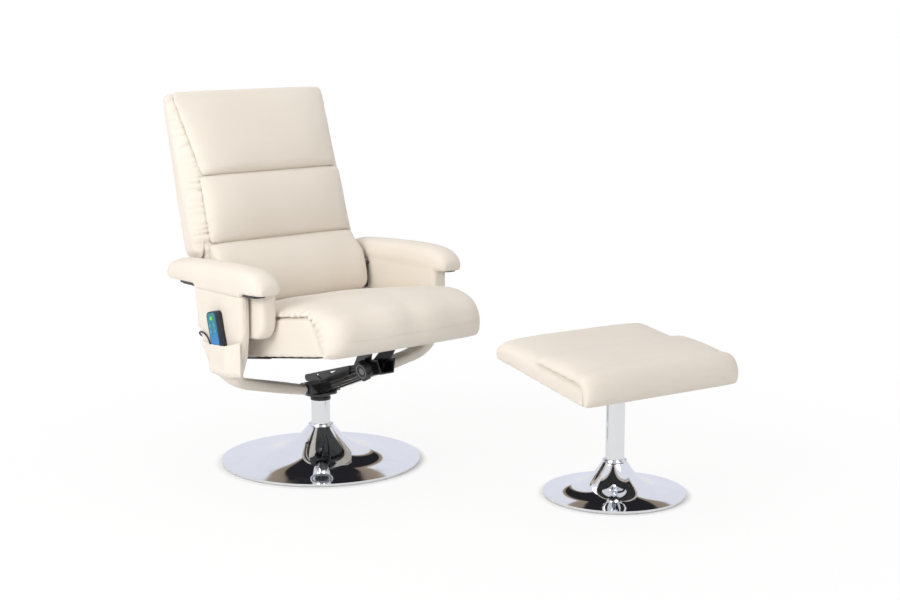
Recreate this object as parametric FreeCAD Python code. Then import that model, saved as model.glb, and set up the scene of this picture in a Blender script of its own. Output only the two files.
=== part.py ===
import FreeCAD, Part
import math
import os

# Swivel recliner with massage handset and its footstool, in millimetres.
# +Z is up, the sitter faces -Y, and the origin is the floor point under the chair's swivel axis.
# Left and right are the sitter's: the right side is -X.

V = FreeCAD.Vector
X_AXIS = V(1, 0, 0)
Y_AXIS = V(0, 1, 0)
Z_AXIS = V(0, 0, 1)

# Fits and cuts
cut_overrun = 4.0
soft_gap = 0.3
hole_gap = 0.3
running_gap = 0.05

# Round bases: chromed sheet covers over a steel floor plate
floor_ring_height = 2.0
floor_ring_width = 20.0
floor_ring_inset = 9.0
base_plate_thickness = 3.6
cover_wall = 2.2
rim_height = 6.4
flare_steepness = 3.7
flare_cone_share = 0.13
flare_shares = (0.0, 0.035, 0.08, 0.15, 0.26, 0.42, 0.66, 1.0)
foot_flange_thickness = 6.0
foot_flange_radius = 52.0
foot_bolt_radius = 4.0
foot_bolt_head_radius = 7.0
foot_bolt_head_height = 5.0
foot_bolt_count = 4
collar_height = 6.0
collar_lip = 2.5

# Chair base
disc_radius = 275.0
neck_radius = 34.0
neck_height = 100.0
column_radius = 26.0
column_wall = 2.5
column_length = 168.0

# Swivel bearing
bush_flange_thickness = 7.0
bush_flange_lip = 2.0
bush_length = 70.0
spindle_radius = 16.0
spindle_collar_radius = 22.0
spindle_collar_thickness = 8.0

# Hub and cross tube
hub_plate_length = 92.0
hub_plate_width = 64.0
hub_plate_thickness = 6.0
hub_plate_corner = 24.0
cross_tube_length = 106.0
cross_tube_width = 42.0
cross_tube_height = 28.0
cross_tube_wall = 2.5
tube_plug_depth = 26.0

# Seat, measured in its own tilted plane: reach is forwards, rise is square to the pan
seat_width = 516.0
seat_tilt = 8.8
seat_back_reach = 95.0
seat_rise = 104.6
seat_length = 460.0
seat_cushion_height = 102.0
seat_nose_shares = (0.935, 0.765)
seat_shoulder_shares = (0.865, 1.0)
seat_shoulder_bulge_shares = (0.908, 0.932)
seat_end_scale_share = 0.945
seat_end_rounding = 9.0
overlay_back_margin = 6.0
overlay_height = 29.0
overlay_nose_reach = 76.0
overlay_tuck = 9.0
overlay_crest_shares = (
    (1.004, -0.069, 0.22, -0.07),
    (0.972, 0.324, 1.0, 0.07),
    (0.924, 0.863, 0.62, 0.76),
    (0.891, 0.985, 0.22, 0.86),
    (0.826, 1.003, 0.0, 1.0),
    (0.435, 1.003, 0.0, 1.07),
    (0.013, 1.003, 0.0, 0.83),
)
overlay_side_shares = ((0.0, 1.0), (0.45, 0.985), (0.80, 0.90), (0.93, 0.70), (1.0, 0.34))
pan_thickness = 4.0
pan_margin = 13.0

# Recline slide: slotted brackets under the seat run on the head of the front arm
slide_travel = 38.0
slot_lean = 14.0
slot_plate_thickness = 4.0
slot_plate_margin = 16.0
slot_plate_drop = 15.0
slot_bolt_radius = 5.0
slot_flange_width = 20.0
slot_plate_shoulder = 12.0
slot_flange_back = 6.0
slot_flange_front = 44.0
head_offset = 27.0
head_reach = 342.0
head_drop = 59.0
head_length = 84.0
head_half_height = 19.0
head_wall = 4.0
arm_beam_width = 42.0
arm_beam_depth = 40.0
arm_beam_wall = 4.0
gusset_thickness = 4.0
gusset_height = 20.0
gusset_rise = 26.0
gusset_back_reach = 38.0
gusset_front_share = 0.62
gusset_window_share = 0.5

# Lock knob
knob_radius = 27.0
knob_thickness = 19.0
knob_boss_radius = 13.0
knob_boss_height = 5.0
knob_lobe_count = 6
knob_lobe_radius = 11.0
knob_lobe_depth = 4.0
knob_face_inset = 1.5
knob_face_radius = 17.0

# Arms: padded hoops rise from the hub, and rails on them carry the pads
side_gap = 4.0
arm_panel_thickness = 50.0
hoop_gap = 5.0
hoop_thickness = 28.0
hoop_corner = 9.0
hoop_slope = 14.0
hoop_bend_radius = 52.0
hoop_height = 310.0
hoop_front = 150.0
hoop_back = 93.0
hoop_lower_shares = (0.0, 0.5, 1.0)
hoop_bend_shares = (0.34, 0.67, 1.0)
hoop_upper_shares = (0.18, 0.5, 1.0)
hoop_front_shares = (0.155, 0.38, 0.52, 0.56, 0.63, 0.76, 0.92, 1.0, 1.0)
hoop_back_shares = (0.25, -0.02, -0.25, -0.14, 0.06, 0.31, 0.55, 0.85, 1.0)
hoop_core_thickness = 8.0
hoop_core_width_share = 0.5
arm_rail_thickness = 6.0
arm_rail_width = 40.0
arm_rail_front = 186.0
arm_rail_back = 172.0
arm_rail_corner = 14.0
arm_pad_half_width = 46.0
arm_pad_overhang = 7.0
arm_pad_height = 66.0
arm_pad_front = 208.0
arm_pad_back = 235.0
arm_pad_station_shares = (
    (0.0, 0.52, 0.36),
    (0.025, 0.80, 0.60),
    (0.075, 0.95, 0.77),
    (0.16, 0.985, 0.85),
    (0.28, 1.0, 0.905),
    (0.42, 1.0, 0.95),
    (0.55, 1.0, 0.985),
    (0.68, 1.0, 1.0),
    (0.78, 1.0, 0.995),
    (0.86, 0.985, 0.95),
    (0.93, 0.92, 0.82),
    (0.98, 0.76, 0.58),
    (1.0, 0.55, 0.36),
)
pad_bottom_share = 0.90
pad_side_height_share = 0.42
pad_shoulder_shares = (0.72, 0.87)
arm_panel_front = 176.0
arm_panel_back = 122.0
arm_panel_front_depth = 66.0
arm_panel_corner = 42.0
arm_panel_back_depth = 118.0
arm_panel_end_scale_share = 0.955
arm_panel_rounding = 9.0

# Recline pivot
pivot_back = 140.0
pivot_drop = 54.0
pivot_bolt_radius = 6.0
pivot_head_radius = 10.0
pivot_head_height = 5.0
pivot_bracket_thickness = 6.0
pivot_bracket_length = 60.0
pivot_bracket_foot = 26.0
pivot_bracket_from_pad = 9.0
hinge_plate_thickness = 5.0
hinge_plate_half_width = 18.0
hinge_plate_length = 92.0
hinge_plate_lean = 36.0
hinge_running_gap = 1.4

# Back, measured in its own leaning plane: climb is up the back, depth is forwards
back_lean = 14.6
back_foot_back = 196.0
back_foot_drop = 134.0
back_height = 644.0
back_foot_climb = 22.0
shell_depth = 75.0
shell_top_depth = 30.0
shell_taper_climb = 400.0
shell_half_width = 270.0
waist_climb = 194.0
shoulder_climb = 226.0
shell_corner = 14.0
shell_bow = 11.5
shell_bow_shares = (0.0, 0.04, 0.30, 0.52, 1.0, 0.92, 0.46, 0.04, 0.0)
shell_edge_shares = (0.79, 0.79, 0.79, 0.69, 0.54, 0.465, 0.576, 0.75, 0.8)
shell_bevel_shares = (0.30, 0.30, 0.30, 0.78, 0.78, 0.92, 0.62, 0.36, 0.36)
shell_bevel = 44.0
shell_upper_climb = 540.0
shell_middle_climb = 345.0
shell_round_climb = 12.0
shell_end_share = 0.55
back_tube_radius = 9.0
back_tube_bend = 46.0
back_tube_side_gap = 23.3
back_tube_foot_climb = -4.0
back_tube_foot_depth = 48.0
back_tube_top_climb = 600.0
back_tube_top_depth = 16.0
cushion_half_width = 235.0
head_half_width = 255.0
head_foot_width_share = 0.89
lumbar_side_gap = 1.0
cushion_crown = 9.0
cushion_side_shares = (
    (0.0, 1.0, 1.0),
    (0.3, 1.0, 1.0),
    (0.6, 1.0, 0.97),
    (0.80, 0.995, 0.87),
    (0.93, 0.985, 0.66),
    (1.0, 0.96, 0.26),
)
cushion_nose_shares = (0.29, 0.71)
head_foot_climb = 400.0
head_foot_depth = 35.0
head_foot_nose = 20.0
head_top_depth = 13.0
head_top_nose = 18.0
head_top_margin = 2.0
middle_foot_climb = 212.0
middle_top_climb = 398.0
middle_depth = 31.0
middle_nose = 20.0
lumbar_foot_climb = 44.0
lumbar_top_climb = 210.0
lumbar_foot_depth = 57.0
lumbar_foot_nose = 34.0
lumbar_top_depth = 35.0
lumbar_top_nose = 20.0
heat_pad_thickness = 2.0
heat_pad_width = 260.0
heat_pad_height = 110.0

# Massage motors
motor_radius = 27.0
motor_height = 20.0
back_motor_spread = 92.0
back_motor_climbs = (120.0, 310.0)
seat_motor_spread = 110.0
seat_motor_reach = 235.0

# Seat to back links, open at the back tube
link_thickness = 5.0
link_bend_gap = 11.0
link_height = 16.0
link_hole_gap = 4.0
link_eye_wall = 6.0
link_grip = 60.0

# Handset
handset_width = 45.0
handset_thickness = 22.0
handset_length = 132.0
handset_corner = 13.0
handset_wall = 2.0
handset_lean = 15.0
handset_mouth_reach = 45.0
handset_above_mouth = 86.0
handset_split_share = 0.52
face_thickness = 1.0
face_margin = 4.0
board_thickness = 1.6
board_margin = 5.0
board_height = 8.0
post_radius = 2.6
post_inset = 9.0
button_proud = 1.3
button_travel = 1.0
button_flange = 1.0
button_flange_thickness = 1.0
button_under_gap = 1.4
button_radius = 4.6
power_radius = 5.2
button_column = 9.5
power_drop = 18.0
first_row_drop = 36.0
second_row_drop = 52.0

# Pocket on the right hoop
pocket_front = 128.0
pocket_back = 50.0
mouth_height = 176.0
pocket_wall = 1.6
pocket_depth = 86.0
pocket_bulge = 26.5
pocket_round_share = 0.72
pocket_station_shares = (
    (0.0, 0.16, 0.92, 0.17),
    (0.12, 0.70, 0.97, 0.09),
    (0.22, 1.0, 1.0, 0.03),
    (0.62, 1.0, 0.97, -0.02),
    (0.78, 0.34, 0.74, -0.05),
    (0.90, 0.20, 0.48, -0.06),
    (1.0, 0.14, 0.26, -0.07),
)

# Handset cord and control box
cord_radius = 2.2
cord_radius_share = 0.45
cord_lead = 11.0
cord_route = (
    (-13.0, -56.0, 108.4),
    (-12.2, -44.0, 101.0),
    (-11.2, -29.0, 102.8),
    (-10.2, -17.5, 113.4),
    (-9.2, -10.0, 129.4),
    (-8.6, -4.5, 147.4),
    (-8.6, 1.5, 165.4),
    (-9.0, 10.5, 181.4),
    (-9.4, 25.0, 191.9),
    (-8.6, 43.0, 194.4),
    (-4.6, 60.0, 189.9),
    (5.0, 72.6, 181.4),
    (19.0, 77.6, 171.0),
    (32.4, 73.0, 159.8),
    (41.0, 61.0, 149.0),
)
control_box_thickness = 30.0
control_box_length = 90.0
control_box_height = 50.0
control_box_back = 12.0
control_box_rise = 137.8
control_box_corner = 6.0
gland_radius = 5.0
gland_length = 14.0
gland_tail = 4.0
inlet_radius = 6.0
inlet_bore = 2.8
inlet_length = 8.0
inlet_share = 0.7

# Footstool
stool_x = 377.0
stool_y = -764.0
stool_yaw = -7.2
stool_tilt = 9.0
stool_disc_radius = 185.0
stool_neck_radius = 31.0
stool_neck_height = 88.0
stool_column_radius = 24.5
stool_column_length = 314.0
stool_plate_size = 190.0
stool_plate_thickness = 5.0
stool_width = 498.0
stool_depth = 400.0
stool_board_thickness = 12.0
stool_board_margin = 34.0
stool_pad_height = 63.0
stool_pad_back_height = 54.0
stool_overlay_share = 0.57
stool_overlay_height = 17.0
stool_overlay_reach = 16.0
stool_overlay_sink = 8.0
stool_crest_shares = (
    (0.30, 0.0),
    (1.0, 0.0),
    (0.85, 0.45),
    (0.45, 0.80),
    (0.0, 1.0),
    (0.0, 1.10),
    (0.0, 0.62),
)
stool_side_shares = (
    (0.0, 1.0, 1.0),
    (0.3, 1.0, 1.0),
    (0.6, 1.0, 0.99),
    (0.82, 0.995, 0.94),
    (0.94, 0.985, 0.80),
    (1.0, 0.965, 0.52),
)
stool_overlay_side_shares = (
    (0.0, 1.0),
    (0.3, 1.0),
    (0.6, 0.98),
    (0.82, 0.90),
    (0.94, 0.64),
    (1.0, 0.2),
)

parts = {}


# Shared shapes
def tilted(angle):
    """Forward and upward directions of a plane that rises towards -Y by this angle."""
    turn = math.radians(angle)
    forward = V(0, -math.cos(turn), math.sin(turn))
    upward = V(0, math.sin(turn), math.cos(turn))
    return forward, upward


def block(low, high):
    size = high - low
    return Part.makeBox(size.x, size.y, size.z, low)


def rod(radius, start, end):
    return Part.makeCylinder(radius, (end - start).Length, start, end - start)


def ring(inner, outer, low, high):
    solid = Part.makeCylinder(outer, high - low, V(0, 0, low))
    hole = Part.makeCylinder(inner, high - low + 2 * cut_overrun, V(0, 0, low - cut_overrun))
    return solid.cut(hole)


def outline(points):
    """Closed wire: each point is a corner, or a pair of an arc's middle point and its end."""
    corners = [p[1] if isinstance(p, tuple) else p for p in points]
    edges = []
    for index, point in enumerate(points):
        start = corners[index - 1]
        if isinstance(point, tuple):
            edges.append(Part.Arc(start, point[0], point[1]).toShape())
        else:
            edges.append(Part.makeLine(start, point))
    return Part.Wire(Part.__sortEdges__(edges))


def rounded_outline(centre, across, along, low, high, corner):
    """Rounded rectangle from low to high, each a pair of sizes along the two directions."""
    bend = corner * (1 - math.sqrt(0.5))

    def at(a, b):
        return centre + across * a + along * b

    a0, b0 = low
    a1, b1 = high
    points = [
        at(a1 - corner, b0),
        (at(a1 - bend, b0 + bend), at(a1, b0 + corner)),
        at(a1, b1 - corner),
        (at(a1 - bend, b1 - bend), at(a1 - corner, b1)),
        at(a0 + corner, b1),
        (at(a0 + bend, b1 - bend), at(a0, b1 - corner)),
        at(a0, b0 + corner),
        (at(a0 + bend, b0 + bend), at(a0 + corner, b0)),
    ]
    return outline(points)


def plate(wire, direction):
    return Part.Face(wire).extrude(direction)


def mirrored(shape):
    return shape.mirror(V(0, 0, 0), X_AXIS)


def fused(shapes):
    body = shapes[0]
    for shape in shapes[1:]:
        body = body.fuse(shape)
    return body.removeSplitter()


def side_stations(half_width, shares):
    """Rows across the width, from one side to the other, with a place and its shares of the full form."""
    right = [(-half_width * row[0],) + row[1:] for row in reversed(shares)]
    left = [(half_width * row[0],) + row[1:] for row in shares[1:]]
    return right + left


# Round bases
def base_cover(radius, neck, neck_top, hole):
    """Trumpet of chromed sheet, from the column's neck out to the rim."""
    low = floor_ring_height
    top = low + rim_height
    rise = low + neck_top - top
    crest = []
    for share in flare_shares:
        left = 1 - share
        lift = flare_cone_share * left + (1 - flare_cone_share) * left ** flare_steepness
        crest.append(V(neck + share * (radius - neck), 0, top + rise * lift))
    under = [point - V(cover_wall, 0, cover_wall) for point in crest]
    outside = Part.BSplineCurve()
    outside.interpolate(crest)
    inside = Part.BSplineCurve()
    inside.interpolate(under)
    corners = [crest[-1], V(radius, 0, low), V(radius - cover_wall, 0, low), under[-1]]
    neck_corners = [under[0], V(hole, 0, under[0].z), V(hole, 0, crest[0].z), crest[0]]
    edges = [outside.toShape(), inside.toShape()]
    edges += [Part.makeLine(a, b) for a, b in zip(corners, corners[1:])]
    edges += [Part.makeLine(a, b) for a, b in zip(neck_corners, neck_corners[1:])]
    face = Part.Face(Part.Wire(Part.__sortEdges__(edges)))
    return face.revolve(V(0, 0, 0), Z_AXIS, 360)


def foot_bolt_places():
    reach = (foot_flange_radius + column_radius) / 2
    for index in range(foot_bolt_count):
        turn = math.radians(360 * (index + 0.5) / foot_bolt_count)
        yield V(reach * math.cos(turn), reach * math.sin(turn), 0)


def round_base(prefix, radius, neck, neck_top, tube_radius, tube_length):
    """Floor ring, floor plate, bolted column, cover and neck collar of one round base."""
    plate_low = floor_ring_height
    plate_top = plate_low + base_plate_thickness
    plate_radius = radius - cover_wall - soft_gap
    flange_top = plate_top + foot_flange_thickness
    ring_outer = radius - floor_ring_inset
    floor_plate = Part.makeCylinder(plate_radius, base_plate_thickness, V(0, 0, plate_low))
    tube = ring(tube_radius - column_wall, tube_radius, plate_top, plate_top + tube_length)
    flange = ring(tube_radius - column_wall, foot_flange_radius, plate_top, flange_top)
    column = fused([tube, flange])
    bolts = []
    for place in foot_bolt_places():
        low = place + V(0, 0, plate_low + soft_gap)
        seat = place + V(0, 0, flange_top)
        head = rod(foot_bolt_head_radius, seat, seat + V(0, 0, foot_bolt_head_height))
        bolts.append(rod(foot_bolt_radius, low, seat).fuse(head).removeSplitter())
        hole_low = place - V(0, 0, cut_overrun)
        hole = rod(foot_bolt_radius + hole_gap, hole_low, seat + V(0, 0, cut_overrun))
        floor_plate = floor_plate.cut(hole)
        column = column.cut(hole)
    cover_top = plate_low + neck_top
    hole_radius = tube_radius + hole_gap
    parts[prefix + "floor_ring"] = ring(ring_outer - floor_ring_width, ring_outer, 0, floor_ring_height)
    parts[prefix + "floor_plate"] = floor_plate
    parts[prefix + "base_cover"] = base_cover(radius, neck, neck_top, hole_radius)
    parts[prefix + "column"] = column
    parts[prefix + "foot_bolts"] = Part.makeCompound(bolts)
    collar_top = cover_top + collar_height
    parts[prefix + "neck_collar"] = ring(hole_radius, neck + collar_lip, cover_top, collar_top)
    return plate_top + tube_length


column_top = round_base("", disc_radius, neck_radius, neck_height, column_radius, column_length)

# Swivel bearing: a flanged bush in the column's mouth, and the spindle that turns in it
bush_outer = column_radius - column_wall - running_gap
bush_bore = spindle_radius + running_gap
bush_top = column_top + bush_flange_thickness
bush_sleeve = ring(bush_bore, bush_outer, column_top - bush_length, bush_top)
bush_flange = ring(bush_bore, column_radius + bush_flange_lip, column_top, bush_top)
parts["swivel_bush"] = fused([bush_sleeve, bush_flange])
hub_low = bush_top + spindle_collar_thickness
spindle_pin = rod(spindle_radius, V(0, 0, column_top - bush_length), V(0, 0, hub_low))
spindle_collar = rod(spindle_collar_radius, V(0, 0, bush_top), V(0, 0, hub_low))
parts["swivel_spindle"] = fused([spindle_pin, spindle_collar])

# Hub plate and cross tube
tube_low = hub_low + hub_plate_thickness
tube_top = tube_low + cross_tube_height
hub_z = (tube_low + tube_top) / 2
hub_half = (hub_plate_length / 2, hub_plate_width / 2)
hub_wire = rounded_outline(
    V(0, 0, hub_low), X_AXIS, Y_AXIS, (-hub_half[0], -hub_half[1]), hub_half, hub_plate_corner
)
parts["hub_plate"] = plate(hub_wire, V(0, 0, hub_plate_thickness))
tube_half_length = cross_tube_length / 2
tube_half_width = cross_tube_width / 2
bore_half_width = tube_half_width - cross_tube_wall
bore_half_height = cross_tube_height / 2 - cross_tube_wall
tube_corner = V(tube_half_length, tube_half_width, cross_tube_height / 2)
bore_corner = V(tube_half_length + cut_overrun, bore_half_width, bore_half_height)
tube_centre = V(0, 0, hub_z)
tube_solid = block(tube_centre - tube_corner, tube_centre + tube_corner)
parts["cross_tube"] = tube_solid.cut(block(tube_centre - bore_corner, tube_centre + bore_corner))

# Planes that the arms, seat and back share
seat_half = seat_width / 2
panel_inner = seat_half + side_gap
panel_outer = panel_inner + arm_panel_thickness
hoop_inner = panel_outer + hoop_gap
hoop_outer = hoop_inner + hoop_thickness
hoop_middle = (hoop_inner + hoop_outer) / 2
hoop_top = hub_z + hoop_height
rail_top = hoop_top + arm_rail_thickness
rail_outer = hoop_outer - hoop_corner / 2
rail_inner = rail_outer - arm_rail_width
pad_middle = hoop_outer + arm_pad_overhang - arm_pad_half_width
pad_inner = pad_middle - arm_pad_half_width


# Hoops: a bent steel core inside a padded, stitched sleeve
def hoop_stations():
    """Centre, outward direction and front and back reach at each section of the left hoop."""
    slope = math.radians(hoop_slope)
    along = V(math.cos(slope), 0, math.sin(slope))
    start = V(tube_half_length + soft_gap + along.z * hoop_thickness / 2, 0, hub_z)
    turn = math.pi / 2 - slope
    tangent = hoop_bend_radius * math.tan(turn / 2)
    corner_run = (hoop_middle - start.x) / along.x
    bend_start = start + along * (corner_run - tangent)
    bend_centre = bend_start + V(-along.z, 0, along.x) * hoop_bend_radius
    bend_top = bend_centre.z
    places = []
    for share in hoop_lower_shares:
        places.append((start + (bend_start - start) * share, V(along.z, 0, -along.x)))
    for share in hoop_bend_shares:
        angle = slope - math.pi / 2 + turn * share
        outward = V(math.cos(angle), 0, math.sin(angle))
        places.append((bend_centre + outward * hoop_bend_radius, outward))
    for share in hoop_upper_shares:
        height = bend_top + (hoop_top - bend_top) * share
        places.append((V(hoop_middle, 0, height), X_AXIS))
    rows = []
    for index, (centre, outward) in enumerate(places):
        front = -hoop_front * hoop_front_shares[index]
        back = hoop_back * hoop_back_shares[index]
        rows.append((centre, outward, front, back))
    return rows


def hoop_core(growth):
    """The core, or with some growth the hollow that it fills in the sleeve."""
    plug_half = (bore_half_height - soft_gap, bore_half_width - soft_gap)
    corner = hoop_core_thickness / 4
    wires = []
    for reach in (tube_half_length - tube_plug_depth, tube_half_length):
        centre = V(reach, 0, hub_z)
        low = (-plug_half[0] - growth, -plug_half[1] - growth)
        high = (plug_half[0] + growth, plug_half[1] + growth)
        wires.append(rounded_outline(centre, V(0, 0, -1), Y_AXIS, low, high, corner))
    half = hoop_core_thickness / 2 + growth
    for centre, outward, front, back in hoop_stations()[1:]:
        middle = (front + back) / 2
        reach = (back - front) * hoop_core_width_share / 2 + growth
        low = (-half, middle - reach)
        high = (half, middle + reach)
        wires.append(rounded_outline(centre, outward, Y_AXIS, low, high, corner))
    return Part.makeLoft(wires, True, True)


def hoop_sleeve():
    half = hoop_thickness / 2
    wires = []
    for centre, outward, front, back in hoop_stations():
        wires.append(rounded_outline(centre, outward, Y_AXIS, (-half, front), (half, back), hoop_corner))
    return Part.makeLoft(wires, True, True)


core = hoop_core(0)
sleeve = hoop_sleeve().cut(hoop_core(soft_gap))
parts["hoop_cores"] = Part.makeCompound([core, mirrored(core)])
parts["hoop_sleeve_left"] = sleeve
parts["hoop_sleeve_right"] = mirrored(sleeve)

# Arm rails, pads and inner panels
rail_wire = rounded_outline(
    V(0, 0, hoop_top), X_AXIS, Y_AXIS,
    (rail_inner, -arm_rail_front), (rail_outer, arm_rail_back), arm_rail_corner,
)
rail = plate(rail_wire, V(0, 0, arm_rail_thickness))
parts["arm_rails"] = Part.makeCompound([rail, mirrored(rail)])


def arm_pad():
    """Bun-shaped pad, flat under, lofted from its back end to its round nose."""
    low = rail_top + soft_gap
    wires = []
    for share, width_share, height_share in arm_pad_station_shares:
        y = arm_pad_back - (arm_pad_back + arm_pad_front) * share
        half = arm_pad_half_width * width_share
        height = arm_pad_height * height_share

        def at(across_share, up_share):
            return V(pad_middle + half * across_share, y, low + height * up_share)

        across, up = pad_shoulder_shares
        wires.append(outline([
            at(-pad_bottom_share, 0),
            (at(-1, pad_side_height_share), at(-across, up)),
            (at(0, 1), at(across, up)),
            (at(1, pad_side_height_share), at(pad_bottom_share, 0)),
        ]))
    return Part.makeLoft(wires, True, False)


def arm_panel():
    """Padded panel that hangs from the rail beside the seat."""
    top = rail_top
    low_front = arm_panel_front_depth + arm_panel_corner
    bend = arm_panel_corner * (1 - math.sqrt(0.5))
    shape = [
        (arm_panel_back, 0),
        (arm_panel_back, -arm_panel_back_depth),
        (arm_panel_corner - arm_panel_front, -low_front),
        (bend - arm_panel_front, bend - low_front, -arm_panel_front, -arm_panel_front_depth),
        (-arm_panel_front, 0),
    ]
    wires = []
    for x, scale in (
        (panel_inner, arm_panel_end_scale_share),
        (panel_inner + arm_panel_rounding, 1),
        (panel_outer - arm_panel_rounding, 1),
        (panel_outer, arm_panel_end_scale_share),
    ):
        points = []
        for row in shape:
            spots = [V(x, row[i] * scale, top + row[i + 1] * scale) for i in range(0, len(row), 2)]
            points.append(spots[0] if len(spots) == 1 else tuple(spots))
        wires.append(outline(points))
    return Part.makeLoft(wires, True, True)


pad = arm_pad()
parts["arm_pad_left"] = pad
parts["arm_pad_right"] = mirrored(pad)

# Recline pivot: brackets under the rails, bolts, and hinge plates on the back
pivot = V(0, pivot_back, hoop_top - pivot_drop)
bracket_inner = pad_inner - pivot_bracket_from_pad
bracket_outer = bracket_inner + pivot_bracket_thickness
bracket_half = pivot_bracket_length / 2
bracket_low = pivot.z - hinge_plate_half_width
ear_low = V(bracket_inner, pivot.y - bracket_half, bracket_low)
ear = block(ear_low, V(bracket_outer, pivot.y + bracket_half, hoop_top))
tab_low = V(bracket_inner, pivot.y - bracket_half, hoop_top - pivot_bracket_thickness)
tab = block(tab_low, V(rail_inner + pivot_bracket_foot, pivot.y + bracket_half, hoop_top))
bolt_room = rod(
    pivot_bolt_radius + hole_gap,
    pivot + X_AXIS * (bracket_inner - cut_overrun),
    pivot + X_AXIS * (bracket_outer + cut_overrun),
)
bracket = fused([ear, tab]).cut(bolt_room)
parts["recline_brackets"] = Part.makeCompound([bracket, mirrored(bracket)])
room_side = V(soft_gap, soft_gap, soft_gap)
rail_low = V(rail_inner, -arm_rail_front, hoop_top)
rail_room = block(rail_low - room_side, V(rail_outer, arm_rail_back, rail_top + cut_overrun))
tab_room = block(tab_low - room_side, V(rail_inner + pivot_bracket_foot, pivot.y, hoop_top) + room_side)
panel = arm_panel().cut(rail_room).cut(tab_room)
parts["arm_panel_left"] = panel
parts["arm_panel_right"] = mirrored(panel)
hinge_outer = bracket_inner - hinge_running_gap
hinge_inner = hinge_outer - hinge_plate_thickness
waist_half = hinge_inner - soft_gap
back_tube_half_width = waist_half - back_tube_radius - back_tube_side_gap
bolt_head_start = pivot + X_AXIS * bracket_outer
bolt_shank = rod(pivot_bolt_radius, pivot + X_AXIS * (hinge_inner + soft_gap), bolt_head_start)
bolt_head = rod(pivot_head_radius, bolt_head_start, bolt_head_start + X_AXIS * pivot_head_height)
pivot_bolt = fused([bolt_shank, bolt_head])
parts["pivot_bolts"] = Part.makeCompound([pivot_bolt, mirrored(pivot_bolt)])


def bar(start, end, half_width, direction):
    """Flat bar with round ends, standing in the plane square to direction."""
    along = (end - start).normalize()
    across = along.cross(direction).normalize() * half_width
    tip = along * half_width
    wire = outline([
        end - across,
        (end + tip, end + across),
        start + across,
        (start - tip, start - across),
    ])
    return plate(wire, direction)


hinge_turn = math.radians(hinge_plate_lean)
hinge_far = pivot + V(0, math.sin(hinge_turn), math.cos(hinge_turn)) * hinge_plate_length
hinge_start = X_AXIS * hinge_inner
hinge_plate = bar(
    pivot + hinge_start, hinge_far + hinge_start, hinge_plate_half_width, X_AXIS * hinge_plate_thickness
)
hinge_hole = rod(
    pivot_bolt_radius + running_gap,
    pivot + X_AXIS * (hinge_inner - cut_overrun),
    pivot + X_AXIS * (hinge_outer + cut_overrun),
)
hinge_plate = hinge_plate.cut(hinge_hole)
parts["hinge_plates"] = Part.makeCompound([hinge_plate, mirrored(hinge_plate)])

# Seat: steel pan, foam cushion and the loose-stitched overlay that rolls over its front
seat_forward, seat_up = tilted(seat_tilt)
seat_foot = V(0, seat_back_reach, hub_z + seat_rise)


def seat_point(x, reach, rise):
    return seat_foot + X_AXIS * x + seat_forward * reach + seat_up * rise


def scaled_point(row, anchor, scales, place):
    spots = []
    for i in range(0, len(row), 2):
        a = anchor[0] + (row[i] - anchor[0]) * scales[0]
        b = anchor[1] + (row[i + 1] - anchor[1]) * scales[1]
        spots.append(place(a, b))
    return spots[0] if len(spots) == 1 else tuple(spots)


def cushion_loft(shape, anchor, stations, place, ruled):
    """Loft of one outline across the width, drawn in towards the anchor at the sides."""
    wires = []
    for x, along_scale, up_scale in stations:
        scales = (along_scale, up_scale)
        points = [scaled_point(row, anchor, scales, lambda a, b: place(x, a, b)) for row in shape]
        wires.append(outline(points))
    return Part.makeLoft(wires, True, ruled)


seat_nose = (seat_length * seat_nose_shares[0], seat_cushion_height * seat_nose_shares[1])
seat_shoulder = (seat_length * seat_shoulder_shares[0], seat_cushion_height * seat_shoulder_shares[1])
bulge_shares = seat_shoulder_bulge_shares
seat_bulge = (seat_length * bulge_shares[0], seat_cushion_height * bulge_shares[1])
seat_shape = [
    (0, 0),
    (seat_length, 0),
    seat_nose,
    seat_bulge + seat_shoulder,
    (0, seat_cushion_height),
]
seat_stations = [
    (-seat_half, seat_end_scale_share, seat_end_scale_share),
    (seat_end_rounding - seat_half, 1, 1),
    (seat_half - seat_end_rounding, 1, 1),
    (seat_half, seat_end_scale_share, seat_end_scale_share),
]
seat_cushion = cushion_loft(seat_shape, (seat_length / 2, 0), seat_stations, seat_point, True)
seat_motors = []
for side in (-1, 1):
    motor_foot = seat_point(side * seat_motor_spread, seat_motor_reach, 0)
    seat_motors.append(rod(motor_radius, motor_foot, motor_foot + seat_up * motor_height))
    room_top = motor_foot + seat_up * (motor_height + soft_gap)
    room_low = motor_foot - seat_up * cut_overrun
    seat_cushion = seat_cushion.cut(rod(motor_radius + soft_gap, room_low, room_top))
parts["seat_cushion"] = seat_cushion
parts["seat_motors"] = Part.makeCompound(seat_motors)


def seat_overlay():
    """Top pad, fullest in the middle, whose front rolls down over the cushion's nose."""
    low = seat_cushion_height + soft_gap
    slope = (seat_length - seat_nose[0]) / seat_nose[1]
    wires = []
    for x, fullness in side_stations(seat_half, overlay_side_shares):
        crest = []
        for reach, rise, forward, up in overlay_crest_shares:
            a = seat_length * reach + overlay_nose_reach * forward * fullness
            b = seat_cushion_height * rise + overlay_height * up * fullness
            crest.append(seat_point(x, a, b))
        tuck, nose, brow, bulge, top, middle, heel = crest
        wires.append(outline([
            seat_point(x, overlay_back_margin, low),
            seat_point(x, seat_shoulder[0], low),
            (
                seat_point(x, seat_bulge[0] + soft_gap, seat_bulge[1] + soft_gap),
                seat_point(x, seat_nose[0] + 2 * soft_gap, seat_nose[1] + soft_gap),
            ),
            seat_point(x, seat_length + slope * overlay_tuck + 2 * soft_gap, -overlay_tuck),
            tuck,
            (nose, brow),
            (bulge, top),
            (middle, heel),
        ]))
    return Part.makeLoft(wires, True, False)


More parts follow.
